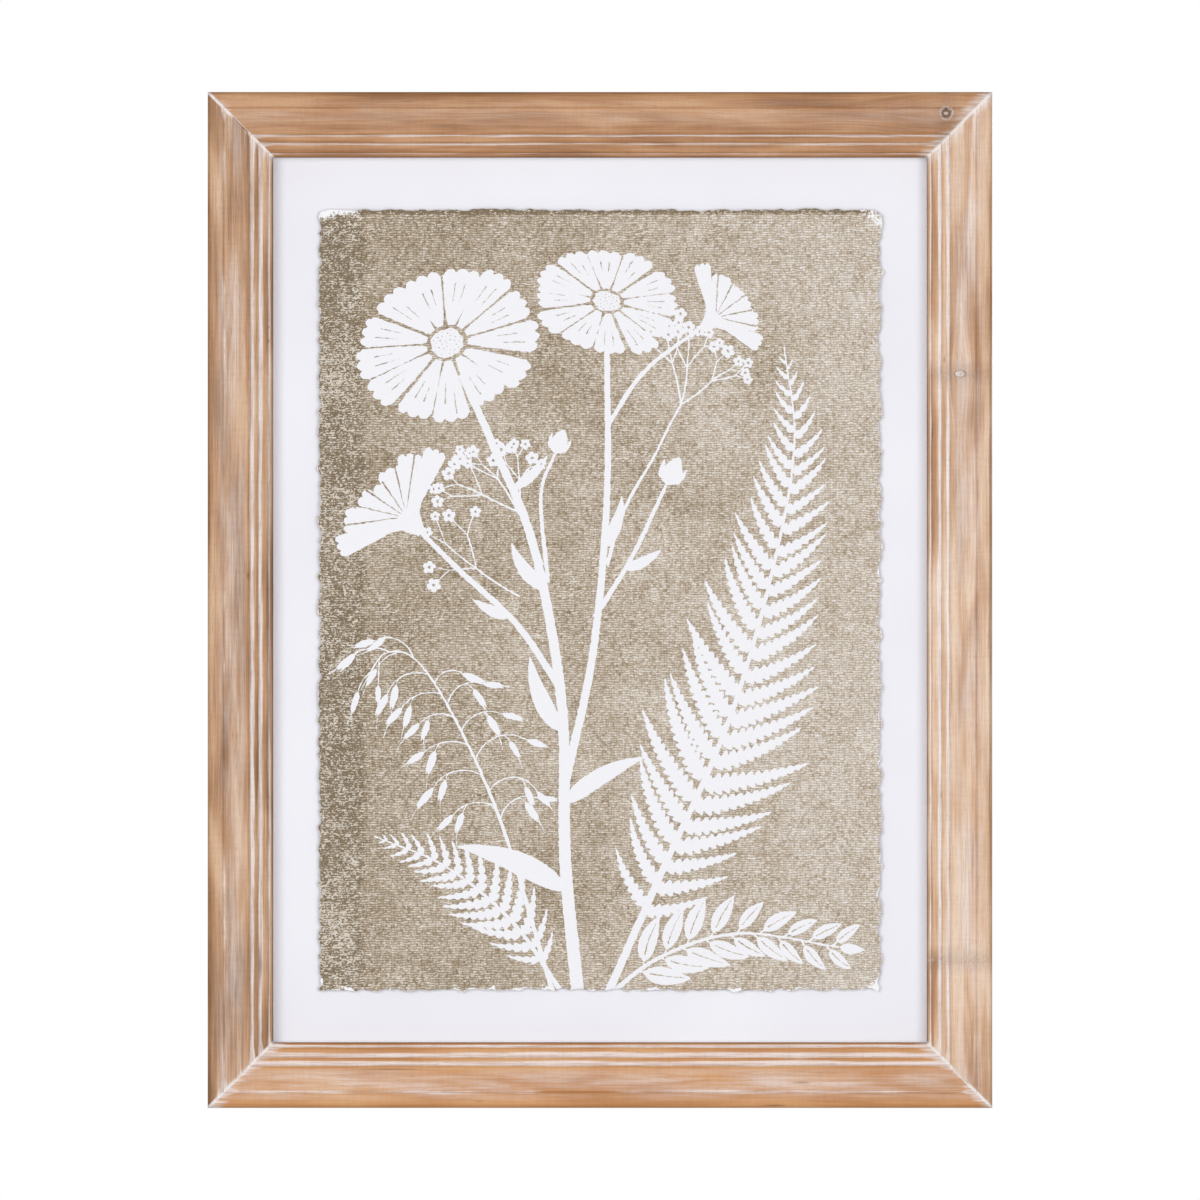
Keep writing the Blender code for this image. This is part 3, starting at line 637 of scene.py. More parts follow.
def grow(mesh, tree, **values):
    """The mesh that a tree makes of this one, with these values in its inputs."""
    holder = bpy.data.objects.new("holder", mesh)
    bpy.context.scene.collection.objects.link(holder)
    modifier = holder.modifiers.new("tree", "NODES")
    modifier.node_group = tree
    sockets = {item.name: item.identifier for item in tree.interface.items_tree if item.in_out == "INPUT"}
    for title, value in values.items():
        modifier[sockets[title]] = value
    return flattened(holder)


def rail_tree():
    """Sweeps the section along a rail whose ends are cut at 45 degrees, a little uneven from the hand."""
    tree, get = new_tree("mitred_rail", Sight="Float", Gap="Float", Stations="Int", Waver="Float",
                         Seed="Float", Finish="Material")
    section = add(tree, "GeometryNodeMeshToCurve", {0: get["Geometry"]})
    line = add(tree, "GeometryNodeCurvePrimitiveLine", {"Start": (-0.5, 0, 0), "End": (0.5, 0, 0)})
    line = add(tree, "GeometryNodeResampleCurve", {"Curve": line, "Count": get["Stations"]})
    rail = add(tree, "GeometryNodeCurveToMesh", {"Curve": line, "Profile Curve": section, "Fill Caps": True})
    out, height, girth, worn = (
        add(tree, "GeometryNodeInputNamedAttribute", {"Name": name})
        for name in ("out", "height", "girth", "worn")
    )
    share = add(tree, "ShaderNodeSeparateXYZ", {0: add(tree, "GeometryNodeInputPosition")})
    half = add(tree, "ShaderNodeMath", {0: get["Sight"], 1: 0.5}, operation="MULTIPLY")
    to_mitre = add(tree, "ShaderNodeMath", {0: half, 1: out}, operation="ADD")
    reach = add(tree, "ShaderNodeMath", {0: to_mitre, 1: get["Gap"]}, operation="SUBTRACT")
    reach = add(tree, "ShaderNodeMath", {0: reach, 1: 2.0}, operation="MULTIPLY")
    along = add(tree, "ShaderNodeMath", {0: reach, 1: share}, operation="MULTIPLY")
    spot = add(tree, "ShaderNodeCombineXYZ", {0: along, 1: out, 2: get["Seed"]})
    uneven = add(tree, "ShaderNodeTexNoise", {"Vector": spot, "Scale": 85.0, "Detail": 3.0})
    uneven = add(tree, "ShaderNodeMath", {0: uneven, 1: 0.5}, operation="SUBTRACT")
    for layer in (get["Waver"], worn):
        uneven = add(tree, "ShaderNodeMath", {0: uneven, 1: layer}, operation="MULTIPLY")
    level = add(tree, "ShaderNodeMath", {0: height, 1: uneven}, operation="ADD")
    back = add(tree, "ShaderNodeMath", {0: level, 1: -1.0}, operation="MULTIPLY")
    down = add(tree, "ShaderNodeMath", {0: out, 1: -1.0}, operation="MULTIPLY")
    place = add(tree, "ShaderNodeCombineXYZ", {0: along, 1: back, 2: down})
    grain = add(tree, "ShaderNodeCombineXYZ", {0: along, 1: girth, 2: 0.0})
    reached = add(tree, "ShaderNodeMath", {0: along}, operation="ABSOLUTE")
    mitre = add(tree, "ShaderNodeMath", {0: to_mitre, 1: reached}, operation="SUBTRACT")
    rail = add(tree, "GeometryNodeStoreNamedAttribute", {"Geometry": rail, "Name": "grain", "Value": grain},
               data_type="FLOAT2", domain="CORNER")
    rail = add(tree, "GeometryNodeStoreNamedAttribute", {"Geometry": rail, "Name": "mitre", "Value": mitre},
               data_type="FLOAT", domain="POINT")
    rail = add(tree, "GeometryNodeSetPosition", {"Geometry": rail, "Position": place})
    end_tree(tree, rail, get["Finish"])
    return tree


def point_tree():
    """Puts a bendable steel point on each vertex: a thin tongue with a round end, its tip in the wood."""
    tree, get = new_tree("steel_points", Length="Float", Width="Float", Thickness="Float", Tip="Float",
                         Finish="Material")
    tongue = add(tree, "GeometryNodeCurvePrimitiveQuadrilateral", {"Width": get["Length"],
                                                                   "Height": get["Width"]})
    rounding = add(tree, "ShaderNodeMath", {0: get["Width"], 1: 0.48}, operation="MULTIPLY")
    tongue = add(tree, "GeometryNodeFilletCurve", {"Curve": tongue, "Radius": rounding, "Count": 7},
                 mode="POLY")
    tongue = add(tree, "GeometryNodeFillCurve", {0: tongue}, mode="NGONS")
    place = add(tree, "ShaderNodeSeparateXYZ", {0: add(tree, "GeometryNodeInputPosition")}).node
    end = add(tree, "ShaderNodeMath", {0: get["Length"], 1: 0.5}, operation="MULTIPLY")
    shoulder = add(tree, "ShaderNodeMath", {0: end, 1: get["Tip"]}, operation="SUBTRACT")
    narrowing = add(tree, "ShaderNodeMapRange", {0: place.outputs[0], 1: shoulder, 2: end, 3: 1.0, 4: 0.35})
    narrowed = add(tree, "ShaderNodeMath", {0: place.outputs[1], 1: narrowing}, operation="MULTIPLY")
    shape = add(tree, "ShaderNodeCombineXYZ", {0: place.outputs[0], 1: narrowed, 2: 0.0})
    tongue = add(tree, "GeometryNodeSetPosition", {"Geometry": tongue, "Position": shape})
    under = add(tree, "GeometryNodeFlipFaces", {0: tongue})
    drawn = add(tree, "GeometryNodeExtrudeMesh", {"Mesh": tongue, "Offset Scale": get["Thickness"],
                                                  "Individual": False})
    both = add(tree, "GeometryNodeJoinGeometry", {0: drawn}).node
    tree.links.new(under, both.inputs[0])
    tongue = add(tree, "GeometryNodeMergeByDistance", {"Geometry": both.outputs[0], "Distance": 1e-6})
    tongue = add(tree, "GeometryNodeTransform", {"Geometry": tongue, "Rotation": (math.pi / 2, 0.0, 0.0)})
    turn = add(tree, "GeometryNodeInputNamedAttribute", {"Name": "turn"})
    turn = add(tree, "ShaderNodeCombineXYZ", {0: 0.0, 1: turn, 2: 0.0})
    points = add(tree, "GeometryNodeMeshToPoints", {"Mesh": get["Geometry"]})
    points = add(tree, "GeometryNodeInstanceOnPoints",
                 {"Points": points, "Instance": tongue, "Rotation": turn})
    end_tree(tree, points, get["Finish"])
    return tree


def fastener_tree():
    """Puts a corrugated fastener on each vertex: a wavy strip of steel, driven in on edge across a mitre."""
    tree, get = new_tree("corrugated_fasteners", Length="Float", Depth="Float", Thickness="Float",
                         Waves="Float", Sway="Float", Finish="Material")
    start = add(tree, "ShaderNodeMath", {0: get["Length"], 1: -0.5}, operation="MULTIPLY")
    start = add(tree, "ShaderNodeCombineXYZ", {0: start})
    end = add(tree, "ShaderNodeVectorMath", {0: start, "Scale": -1.0}, operation="SCALE")
    strip = add(tree, "GeometryNodeCurvePrimitiveLine", {"Start": start, "End": end})
    strip = add(tree, "GeometryNodeResampleCurve", {"Curve": strip, "Count": 49})
    share = add(tree, "GeometryNodeSplineParameter")
    turn = add(tree, "ShaderNodeMath", {0: share, 1: get["Waves"]}, operation="MULTIPLY")
    turn = add(tree, "ShaderNodeMath", {0: turn, 1: 2 * math.pi}, operation="MULTIPLY")
    sway = add(tree, "ShaderNodeMath", {0: turn}, operation="SINE")
    sway = add(tree, "ShaderNodeMath", {0: sway, 1: get["Sway"]}, operation="MULTIPLY")
    sway = add(tree, "ShaderNodeCombineXYZ", {2: sway})
    strip = add(tree, "GeometryNodeSetPosition", {"Geometry": strip, "Offset": sway})
    thick = get["Thickness"]
    wire = add(tree, "GeometryNodeCurvePrimitiveQuadrilateral", {"Width": thick, "Height": thick})
    strip = add(tree, "GeometryNodeCurveToMesh", {"Curve": strip, "Profile Curve": wire, "Fill Caps": True})
    deeper = add(tree, "ShaderNodeMath", {0: get["Depth"], 1: thick}, operation="DIVIDE")
    deeper = add(tree, "ShaderNodeCombineXYZ", {0: 1.0, 1: deeper, 2: 1.0})
    place = add(tree, "GeometryNodeInputPosition")
    place = add(tree, "ShaderNodeVectorMath", {0: place, 1: deeper}, operation="MULTIPLY")
    strip = add(tree, "GeometryNodeSetPosition", {"Geometry": strip, "Position": place})
    turn = add(tree, "GeometryNodeInputNamedAttribute", {"Name": "turn"})
    turn = add(tree, "ShaderNodeCombineXYZ", {0: 0.0, 1: turn, 2: 0.0})
    points = add(tree, "GeometryNodeMeshToPoints", {"Mesh": get["Geometry"]})
    points = add(tree, "GeometryNodeInstanceOnPoints",
                 {"Points": points, "Instance": strip, "Rotation": turn})
    end_tree(tree, points, get["Finish"])
    return tree


def fibre_tree():
    """Puts a thin bent fibre on each vertex. Its length, lean and twist are picked by chance."""
    tree, get = new_tree("torn_edge_fibres", Length="Float", Thickness="Float", Seed="Int", Finish="Material")
    line = {"Start": (-0.3, 0.0, 0.0), "Middle": (0.5, -0.05, 0.0), "End": (0.9, -0.12, 0.35)}
    bent = add(tree, "GeometryNodeCurveQuadraticBezier", {"Resolution": 5, **line})
    thin = add(tree, "ShaderNodeMath", {0: get["Thickness"], 1: get["Length"]}, operation="DIVIDE")
    wire = add(tree, "GeometryNodeCurvePrimitiveCircle", {"Resolution": 3, "Radius": thin})
    share = add(tree, "GeometryNodeSplineParameter")
    taper = add(tree, "ShaderNodeMapRange", {0: share, 1: 0.3, 2: 1.0, 3: 1.0, 4: 0.3})
    fibre = add(tree, "GeometryNodeCurveToMesh", {"Curve": bent, "Profile Curve": wire, "Scale": taper,
                                                  "Fill Caps": True})
    turn = add(tree, "GeometryNodeInputNamedAttribute", {"Name": "turn"})
    twist = add(tree, "FunctionNodeRandomValue", {"Min": -3.1, "Max": 3.1, "Seed": get["Seed"]}, out=1)
    turn = add(tree, "ShaderNodeCombineXYZ", {0: twist, 1: turn, 2: 0.0})
    later = add(tree, "ShaderNodeMath", {0: get["Seed"], 1: 1.0}, operation="ADD")
    luck = add(tree, "FunctionNodeRandomValue", {"Min": 0.0, "Max": 1.0, "Seed": later}, out=1)
    luck = add(tree, "ShaderNodeMath", {0: luck, 1: 5.0}, operation="POWER")
    size = add(tree, "ShaderNodeMapRange", {0: luck, 1: 0.0, 2: 1.0, 3: 0.55, 4: 2.6})
    size = add(tree, "ShaderNodeMath", {0: size, 1: get["Length"]}, operation="MULTIPLY")
    points = add(tree, "GeometryNodeMeshToPoints", {"Mesh": get["Geometry"]})
    points = add(tree, "GeometryNodeInstanceOnPoints", {"Points": points, "Instance": fibre, "Rotation": turn,
                                                        "Scale": size})
    end_tree(tree, points, get["Finish"])
    return tree


def spots(name, places):
    """A mesh of loose vertices for a tree to put its instances on, from (place, turn) pairs."""
    mesh = bpy.data.meshes.new(name)
    mesh.from_pydata([place for place, _ in places], [], [])
    mesh.attributes.new("turn", "FLOAT", "POINT").data.foreach_set("value", [turn for _, turn in places])
    return mesh


def add_piece(name, mesh, slot, *nodes):
    """The mesh as a piece of the object, its faces turned outwards and smooth but for sharp edges."""
    bm = bmesh.new()
    bm.from_mesh(mesh)
    bmesh.ops.recalc_face_normals(bm, faces=bm.faces)
    bm.to_mesh(mesh)
    bm.free()
    mesh.shade_smooth()
    mesh.set_sharp_from_angle(angle=SHARP_ANGLE)
    mesh.name = name
    piece = bpy.data.objects.new(name, mesh)
    bpy.context.scene.collection.objects.link(piece)
    if nodes:
        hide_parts(*nodes)
    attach(piece, "root")


def smooth(points, step=3.0):
    """Points about every step along a smooth curve through these ones."""
    ends = [2 * points[0] - points[1], *points, 2 * points[-1] - points[-2]]
    path = []
    for a, b, c, d in zip(ends, ends[1:], ends[2:], ends[3:]):
        count = max(1, round(abs(c - b) / step))
        for t in (i / count for i in range(count)):
            slow, fast = 2 * a - 5 * b + 4 * c - d, 3 * b - a - 3 * c + d
            path.append(b + 0.5 * ((c - a) * t + slow * t**2 + fast * t**3))
    return path + [points[-1]]


def bend(start, heading, length, turn, count=8):
    """A path from start that sets off on a heading and turns evenly by turn in all."""
    path = [start]
    for _ in range(count):
        heading *= cmath.rect(1, turn / count)
        path.append(path[-1] + heading * length / count)
    return path


def heading_at(path, i):
    """The direction of a path at its point i, one long."""
    along = path[min(i + 1, len(path) - 1)] - path[max(i - 1, 0)]
    return along / abs(along)


def place_at(path, share):
    """The point and the direction at a share of the way along a path."""
    at = share * (len(path) - 1)
    i = min(int(at), len(path) - 2)
    return path[i] + (path[i + 1] - path[i]) * (at - i), heading_at(path, i)


def ribbon(path, width):
    """The outline of a stroke. width gives its width at a share of its length."""
    left, right = [], []
    last = len(path) - 1
    for i, point in enumerate(path):
        out = 1j * heading_at(path, i) * width(i / last) / 2
        left.append(point + out)
        right.append(point - out)
    return left + right[::-1]


def tapered(path, start, end):
    """The outline of a stroke whose width changes evenly from start to end."""
    return ribbon(path, lambda t: start + (end - start) * t)


def leaf(start, heading, length, width, turn=0.0, belly=0.8):
    """A leaf or petal with a pointed tip. Its belly is nearer its foot the smaller the number is."""
    path = bend(start, heading, length, turn, 10)
    return ribbon(path, lambda t: 0.25 + width * math.sin(math.pi * t**belly) ** 0.85)


def pinna(start, heading, length, side, draw):
    """One side leaf of a fern: a midrib edged with small round lobes that point forwards."""
    path = bend(start, heading, length, -side * draw.uniform(0.25, 0.5), 12)
    lobes = max(3, round(length / 4.8))
    edges = ([], [])
    for which, out_side in enumerate((1, -1)):
        for lobe in range(lobes):
            for part in range(5):
                share = part / 4
                t = (lobe + 0.06 + 0.9 * share) / lobes
                point, along = place_at(path, min(t, 0.999))
                reach = 0.26 * length**0.8 * (1 - t) ** 0.7 * min(1.0, 0.55 + 5 * t)
                out = reach * (0.3 + 0.7 * math.sin(math.pi * (0.08 + 0.84 * share)) ** 0.7)
                edges[which].append(point + along * out * 0.5 + 1j * along * out_side * out)
    return edges[0] + [path[-1]] + edges[1][::-1]


def fern(points, longest, width, pairs, draw):
    """A fern frond along a curve: pairs of side leaves, longest a third of the way up."""
    rachis = smooth(points)
    shapes = [tapered(rachis, width, 0.7)]
    for k in range(pairs):
        share = 0.15 + 0.84 * (1 - (1 - k / pairs) ** 1.12)
        grown = min(1.0, 0.45 + 2.6 * (share - 0.13)) * (1 - share) ** 0.72 * 1.3
        for side in (1, -1):
            point, along = place_at(rachis, min(0.995, share + side * 0.004))
            angle = side * (1.18 - 0.35 * share + draw.uniform(-0.06, 0.06))
            reach = max(3.0, longest * min(1.0, grown) * draw.uniform(0.92, 1.05))
            shapes.append(pinna(point, along * cmath.rect(1, angle), reach, side, draw))
    return shapes


def squash(points, centre, axis, ratio):
    """The points pressed towards the line through centre along axis, as a tilted flower looks."""
    pressed = []
    for p in points:
        local = (p - centre) / axis
        pressed.append(centre + complex(local.real, local.imag * ratio) * axis)
    return pressed


def petal(centre, angle, inner, outer, width, notch, draw):
    """A petal that widens outwards to a tip with three round teeth."""
    way = cmath.rect(1, angle)
    turn = draw.uniform(-0.06, 0.06)
    path = bend(centre + way * inner, way * cmath.rect(1, -turn / 2), outer - inner, turn, 10)
    left, right = [], []
    for i, point in enumerate(path[:-1]):
        half = width / 2 * (0.17 + 0.83 * (i / 9) ** 0.85)
        out = 1j * heading_at(path, i) * half
        left.append(point + out)
        right.append(point - out)
    teeth = []
    for k in range(13):
        across = 1 - k / 6
        rise = math.sqrt(max(0.0, 1 - across**2)) * width * 0.16
        rise += notch * (abs(math.cos(1.5 * math.pi * across)) ** 0.7 - 0.5)
        teeth.append(path[-2] + heading_at(path, 9) * rise + 1j * heading_at(path, 9) * across * width / 2)
    return left + teeth + right[::-1]


def open_flower(centre, radius, petals, axis, ratio, draw):
    """A flower seen from in front or aslant, and the gaps in it: petals round a stippled eye."""
    eye = radius * 0.2
    shapes, gaps = [], []
    for k in range(petals):
        angle = 2 * math.pi * k / petals + draw.uniform(-0.035, 0.035)
        outer = radius * draw.uniform(0.92, 1.04)
        wide = 2 * math.pi * radius / petals * draw.uniform(0.82, 0.9)
        shapes.append(petal(centre, angle, eye * 1.15, outer, wide, radius * 0.05, draw))
        for shift in (-0.16, 0.14):
            way = cmath.rect(1, angle + shift * 2 * math.pi / petals)
            start = centre + way * outer * draw.uniform(0.5, 0.62)
            gaps.append(tapered(bend(start, way, outer * draw.uniform(0.18, 0.3), 0.0, 3), 0.15, 0.62))
    ring = [centre + cmath.rect(eye * draw.uniform(0.86, 1.02), 2 * math.pi * k / 26) for k in range(26)]
    shapes.append(ring)
    for k in range(34):
        spot = centre + cmath.rect(eye * 0.86 * math.sqrt(k / 34), 2.4 * k)
        gaps.append([spot + cmath.rect(0.42, math.pi / 2 * c + k) for c in range(4)])
    return [[squash(outline, centre, axis, ratio) for outline in group] for group in (shapes, gaps)]


def side_flower(foot, heading, radius, petals, draw):
    """A flower seen from the side: a cup of green leaves under a fan of petals, and its gaps."""
    shapes, gaps = [], []
    cup = radius * 0.26
    for k in range(petals):
        share = (k + 0.5) / petals * 2 - 1
        way = heading * cmath.rect(1, share * 1.32)
        base = foot + heading * cup * 0.9 + 1j * heading * share * cup * 0.55
        reach = radius * (0.62 + 0.42 * abs(share)) * draw.uniform(0.93, 1.05)
        wide = radius * 0.4 * (1.1 - 0.35 * abs(share))
        shapes.append(petal(base, cmath.phase(way), 0.0, reach, wide, radius * 0.04, draw))
        if k:
            seam = heading * cmath.rect(1, (k / petals * 2 - 1) * 1.3)
            start = foot + heading * cup * 1.3 + 1j * heading * (k / petals * 2 - 1) * cup * 0.5
            gaps.append(tapered(bend(start, seam, reach * 0.85, 0.0, 4), 0.35, 1.0))
    shapes.append(ribbon([foot - heading * cup * 0.2 + heading * cup * 1.5 * t / 6 for t in range(7)],
                         lambda t: cup * (0.5 + 1.25 * math.sin(math.pi / 2 * t) ** 1.5)))
    for k in range(5):
        share = k / 4 * 2 - 1
        base = foot + heading * cup * 0.7 + 1j * heading * share * cup * 0.5
        shapes.append(leaf(base, heading * cmath.rect(1, share * 0.9), cup * 1.3, cup * 0.32, 0.0, 0.6))
    return shapes, gaps


def bud(foot, heading, length):
    """A closed bud in its cup of pointed leaves."""
    body = ribbon([foot + heading * length * t / 8 for t in range(9)],
                  lambda t: 0.3 + length * 0.62 * math.sin(math.pi * min(1.0, t**0.8)) ** 0.7)
    shapes = [body]
    for share in (-1, 0, 1):
        base = foot + heading * length * 0.15 + 1j * heading * share * length * 0.22
        way = heading * cmath.rect(1, share * 0.55)
        shapes.append(leaf(base, way, length * 0.62, length * 0.18, share * -0.5, 0.6))
    return shapes


def oats(points, width, count, draw):
    """An oat head: thin branches off a bowed stem, each with hanging spikelets and their awns."""
    stem = smooth(points)
    shapes = [tapered(stem, width, 0.6)]
    down = -1j
    for k in range(count):
        share = 0.42 + 0.57 * k / count
        point, along = place_at(stem, share)
        side = 1 if k % 2 else -1
        reach = 46 * (1 - share) ** 0.45 * draw.uniform(0.6, 1.1) + 5
        start = along * cmath.rect(1, side * draw.uniform(0.35, 0.75))
        droop = cmath.phase(down / start)
        branch = bend(point, start, reach, droop * draw.uniform(0.55, 0.8), 9)
        shapes.append(tapered(branch, 0.85, 0.5))
        for at in ((1.0, 0.62) if reach > 22 else (1.0,)):
            tip, way = place_at(branch, at)
            if at < 1:
                way = way * cmath.rect(1, side * 0.5)
                twig = bend(tip, way, draw.uniform(3, 7), cmath.phase(down / way) * 0.6, 4)
                shapes.append(tapered(twig, 0.6, 0.45))
                tip, way = twig[-1], heading_at(twig, 4)
            size = draw.uniform(11, 15)
            for lean in (-0.16, 0.17):
                shapes.append(leaf(tip, way * cmath.rect(1, lean), size, size * 0.2, -lean * 1.4, 0.72))
            stray = way * cmath.rect(1, draw.uniform(-0.2, 0.2))
            awn = bend(tip + way * size * 0.7, stray, size * 0.85, 0.3 * side, 4)
            shapes.append(tapered(awn, 0.5, 0.25))
    return shapes


def spray(start, heading, length, level, draw):
    """An airy spray: thin stems that fork, each ending in a tiny five-petalled flower, and its gaps."""
    path = bend(start, heading, length, draw.uniform(-0.35, 0.35), 5)
    shapes, gaps = [tapered(path, 0.55 + 0.3 * level, 0.5 + 0.25 * level)], []
    if level == 0:
        size = draw.uniform(1.7, 2.5)
        for k in range(5):
            spot = path[-1] + cmath.rect(size, 2 * math.pi * k / 5 + length)
            shapes.append([spot + cmath.rect(size * 0.72, math.pi / 3.5 * c) for c in range(7)])
        gaps.append([path[-1] + cmath.rect(0.6, math.pi / 2.5 * c) for c in range(5)])
        return shapes, gaps
    for lean in (-0.62, 0.06, 0.6) if level > 1 else (-0.5, 0.45):
        way = heading_at(path, 5) * cmath.rect(1, lean + draw.uniform(-0.14, 0.14))
        more = spray(path[-1], way, length * draw.uniform(0.5, 0.78), level - 1, draw)
        shapes += more[0]
        gaps += more[1]
    return shapes, gaps


def sprig(points, width, pairs, longest, draw):
    """A twig with opposite oval leaves, each split by a thin midrib, and its gaps."""
    stem = smooth(points)
    shapes, gaps = [tapered(stem, width, 0.8)], []
    for k in range(pairs):
        share = 0.2 + 0.76 * k / (pairs - 1)
        length = longest * (1 - 0.55 * share) * draw.uniform(0.9, 1.08)
        for side in (1, -1):
            point, along = place_at(stem, min(0.99, share + side * 0.012))
            way = along * cmath.rect(1, side * draw.uniform(0.75, 0.95))
            turn = -side * draw.uniform(0.15, 0.45)
            stalk = 3.0
            shapes.append(tapered([point, point + way * stalk], 1.3, 1.0))
            shapes.append(leaf(point + way * stalk, way, length, length * 0.36, turn, 0.78))
            vein = bend(point + way * stalk, way, length * 0.86, turn * 0.9, 6)
            gaps.append(tapered(vein[1:], 0.75, 0.3))
    point, along = place_at(stem, 1.0)
    shapes.append(leaf(point, along, longest * 0.42, longest * 0.17, 0.1, 0.78))
    return shapes, gaps


def draw_print(seed):
    """The whole print as (ink outlines, gap outlines), in millimetres from the sheet's middle."""
    draw = random.Random(seed)
    ink, gaps = [], []

    def keep(made):
        """Adds a motif's outlines and its gaps to the print's."""
        ink.extend(made[0])
        gaps.extend(made[1])

    # A fern up the right side, and a short one at the left foot
    ink.extend(fern([2 - 232j, 34 - 160j, 74 - 70j, 100 + 20j, 112 + 90j, 106 + 146j], 64, 4.8, 28, draw))
    ink.extend(fern([-22 - 226j, -50 - 186j, -88 - 154j, -130 - 136j], 34, 2.8, 15, draw))
    # Daisies: one tall forked plant, its stems as points and the widths at their foot and top
    stems = []
    for points, foot, top in (
        ((-12 - 234j, -20 - 150j, -22 - 60j, -38 + 30j, -62 + 90j, -80 + 130j), 7.6, 4.0),
        ((-21 - 110j, -4 - 30j, 4 + 60j, 4 + 150j), 5.0, 3.2),
        ((-22 - 52j, -48 - 14j, -82 + 18j, -104 + 40j), 4.2, 2.6),
        ((-3 - 10j, 18 + 24j, 38 + 66j), 3.2, 2.0),
        ((-30 + 10j, -34 + 60j, -26 + 84j), 2.6, 1.8),
        ((4 + 100j, 26 + 132j, 60 + 158j), 2.8, 1.9),
    ):
        stems.append(smooth(points))
        ink.append(tapered(stems[-1], foot, top))
    tops = [(stem[-1], heading_at(stem, len(stem) - 1)) for stem in stems[2:]]
    left_side, tall_bud, short_bud, right_side = tops
    keep(open_flower(-88 + 148j, 52, 13, cmath.rect(1, 0.35), 0.84, draw))
    keep(open_flower(4 + 172j, 43, 12, cmath.rect(1, -0.2), 0.7, draw))
    keep(side_flower(*left_side, 42, 7, draw))
    keep(side_flower(*right_side, 31, 6, draw))
    ink.extend(bud(*tall_bud, 18))
    ink.extend(bud(*short_bud, 15))
    for start, way, length, wide, turn in (
        (-19 - 168j, 2.45, 70, 13, 0.55), (-21 - 118j, 0.8, 56, 10, -0.5), (-22 - 76j, 2.3, 48, 10, -0.6),
        (-31 + 6j, 2.6, 34, 8, -0.7), (2 + 30j, 0.9, 32, 7, 0.6), (-50 + 64j, 0.5, 28, 6, 0.5),
        (-52 - 10j, 2.9, 24, 6, -0.4), (14 + 18j, 0.2, 24, 6, 0.5),
    ):
        ink.append(leaf(start, cmath.rect(1, way), length, wide, turn, 0.7))
    # Airy sprays between the flowers
    airy = smooth([4 + 20j, 14 + 52j, 32 + 84j])
    ink.append(tapered(airy, 2.4, 1.5))
    keep(spray(airy[-1], heading_at(airy, len(airy) - 1) * cmath.rect(1, 0.1), 32, 3, draw))
    keep(spray(-33 + 20j, cmath.rect(1, 1.95), 34, 3, draw))
    keep(spray(-46 + 2j, cmath.rect(1, 2.7), 30, 2, draw))
    # Oats at the left, and a leafy twig at the foot
    ink.extend(oats([-26 - 230j, -60 - 120j, -98 - 44j, -122 - 30j, -138 - 52j], 2.8, 17, draw))
    keep(sprig([0 - 232j, 34 - 206j, 80 - 192j, 138 - 200j], 2.8, 9, 34, draw))
    return ink, gaps


def covers(outline, spot):
    """True if a spot is inside an outline: a line to its right crosses the outline an odd number of times."""
    odd = False
    for a, b in zip(outline, outline[1:] + outline[:1]):
        if (a.imag > spot.imag) != (b.imag > spot.imag):
            odd ^= spot.real < a.real + (b.real - a.real) * (spot.imag - a.imag) / (b.imag - a.imag)
    return odd


def by_cell(outlines):
    """The outlines that reach into each cell of a coarse grid, so that few are looked at for a spot."""
    cells = {}
    for outline in outlines:
        low_x, high_x = (int(pick(p.real for p in outline) // CELL) for pick in (min, max))
        low_y, high_y = (int(pick(p.imag for p in outline) // CELL) for pick in (min, max))
        for x in range(low_x, high_x + 1):
            for y in range(low_y, high_y + 1):
                cells.setdefault((x, y), []).append(outline)
    return cells


def roughen(outline, draw):
    """The outline with points about a step apart, each a hair off its place, as ink prints on a weave."""
    rough = []
    for a, b in zip(outline, outline[1:] + outline[:1]):
        count = max(1, round(abs(b - a) / INK_STEP))
        for k in range(count):
            off = complex(draw.gauss(0, INK_ROUGHNESS), draw.gauss(0, INK_ROUGHNESS))
            rough.append(a + (b - a) * k / count + off)
    return rough


def sheet_edge():
    """Points round the torn edge, anticlockwise from the front: a round-cornered rectangle, worn inwards."""
    draw = random.Random(SHEET_SEED)
    deckle = [(count, size, draw.uniform(0, 2 * math.pi)) for count, size in DECKLE_WAVES]
    fray = [(count, size, draw.uniform(0, 2 * math.pi)) for count, size in FRAY_WAVES]
    half_w, half_h = SHEET_W / 2 - SHEET_CORNER, SHEET_H / 2 - SHEET_CORNER
    bend_length = math.pi / 2 * SHEET_CORNER
    lengths = [2 * half_w, bend_length, 2 * half_h, bend_length] * 2
    corners = [half_w - half_h * 1j, half_w + half_h * 1j, -half_w + half_h * 1j, -half_w - half_h * 1j]
    around = sum(lengths)
    count = round(around / EDGE_STEP)
    points = []
    for i in range(count):
        place = travelled = around * i / count
        leg = 0
        while travelled > lengths[leg]:
            travelled -= lengths[leg]
            leg += 1
        facing = cmath.rect(1, (leg // 2 - 1) * math.pi / 2)
        base = corners[leg // 2]
        if leg % 2:
            facing *= cmath.rect(1, travelled / SHEET_CORNER)
        else:
            base -= facing * 1j * (lengths[leg] - travelled)
        worn, frayed = (
            sum(size * abs(math.sin(math.pi * n * place / around + turn)) for n, size, turn in waves)
            for waves in (deckle, fray)
        )
        at_top, at_foot, at_right = facing.imag > 0.7, facing.imag < -0.7, facing.real > 0.9
        wear = worn + (frayed - FRAY_EASE) * (FRAY_AT_TOP if at_top else 1.0)
        if at_right:
            wear += SCALLOP_DEPTH * (abs(math.sin(math.pi * SCALLOPS * place / around)) - 0.5)
        points.append(base + facing * (SHEET_CORNER - max(CUSP_OUT if at_foot or at_right else 0.0, wear)))
    return points


def inside(point, margin):
    """True if a point is within the sheet's outer size by more than a margin."""
    return abs(point.real) < SHEET_W / 2 - margin and abs(point.imag) < SHEET_H / 2 - margin


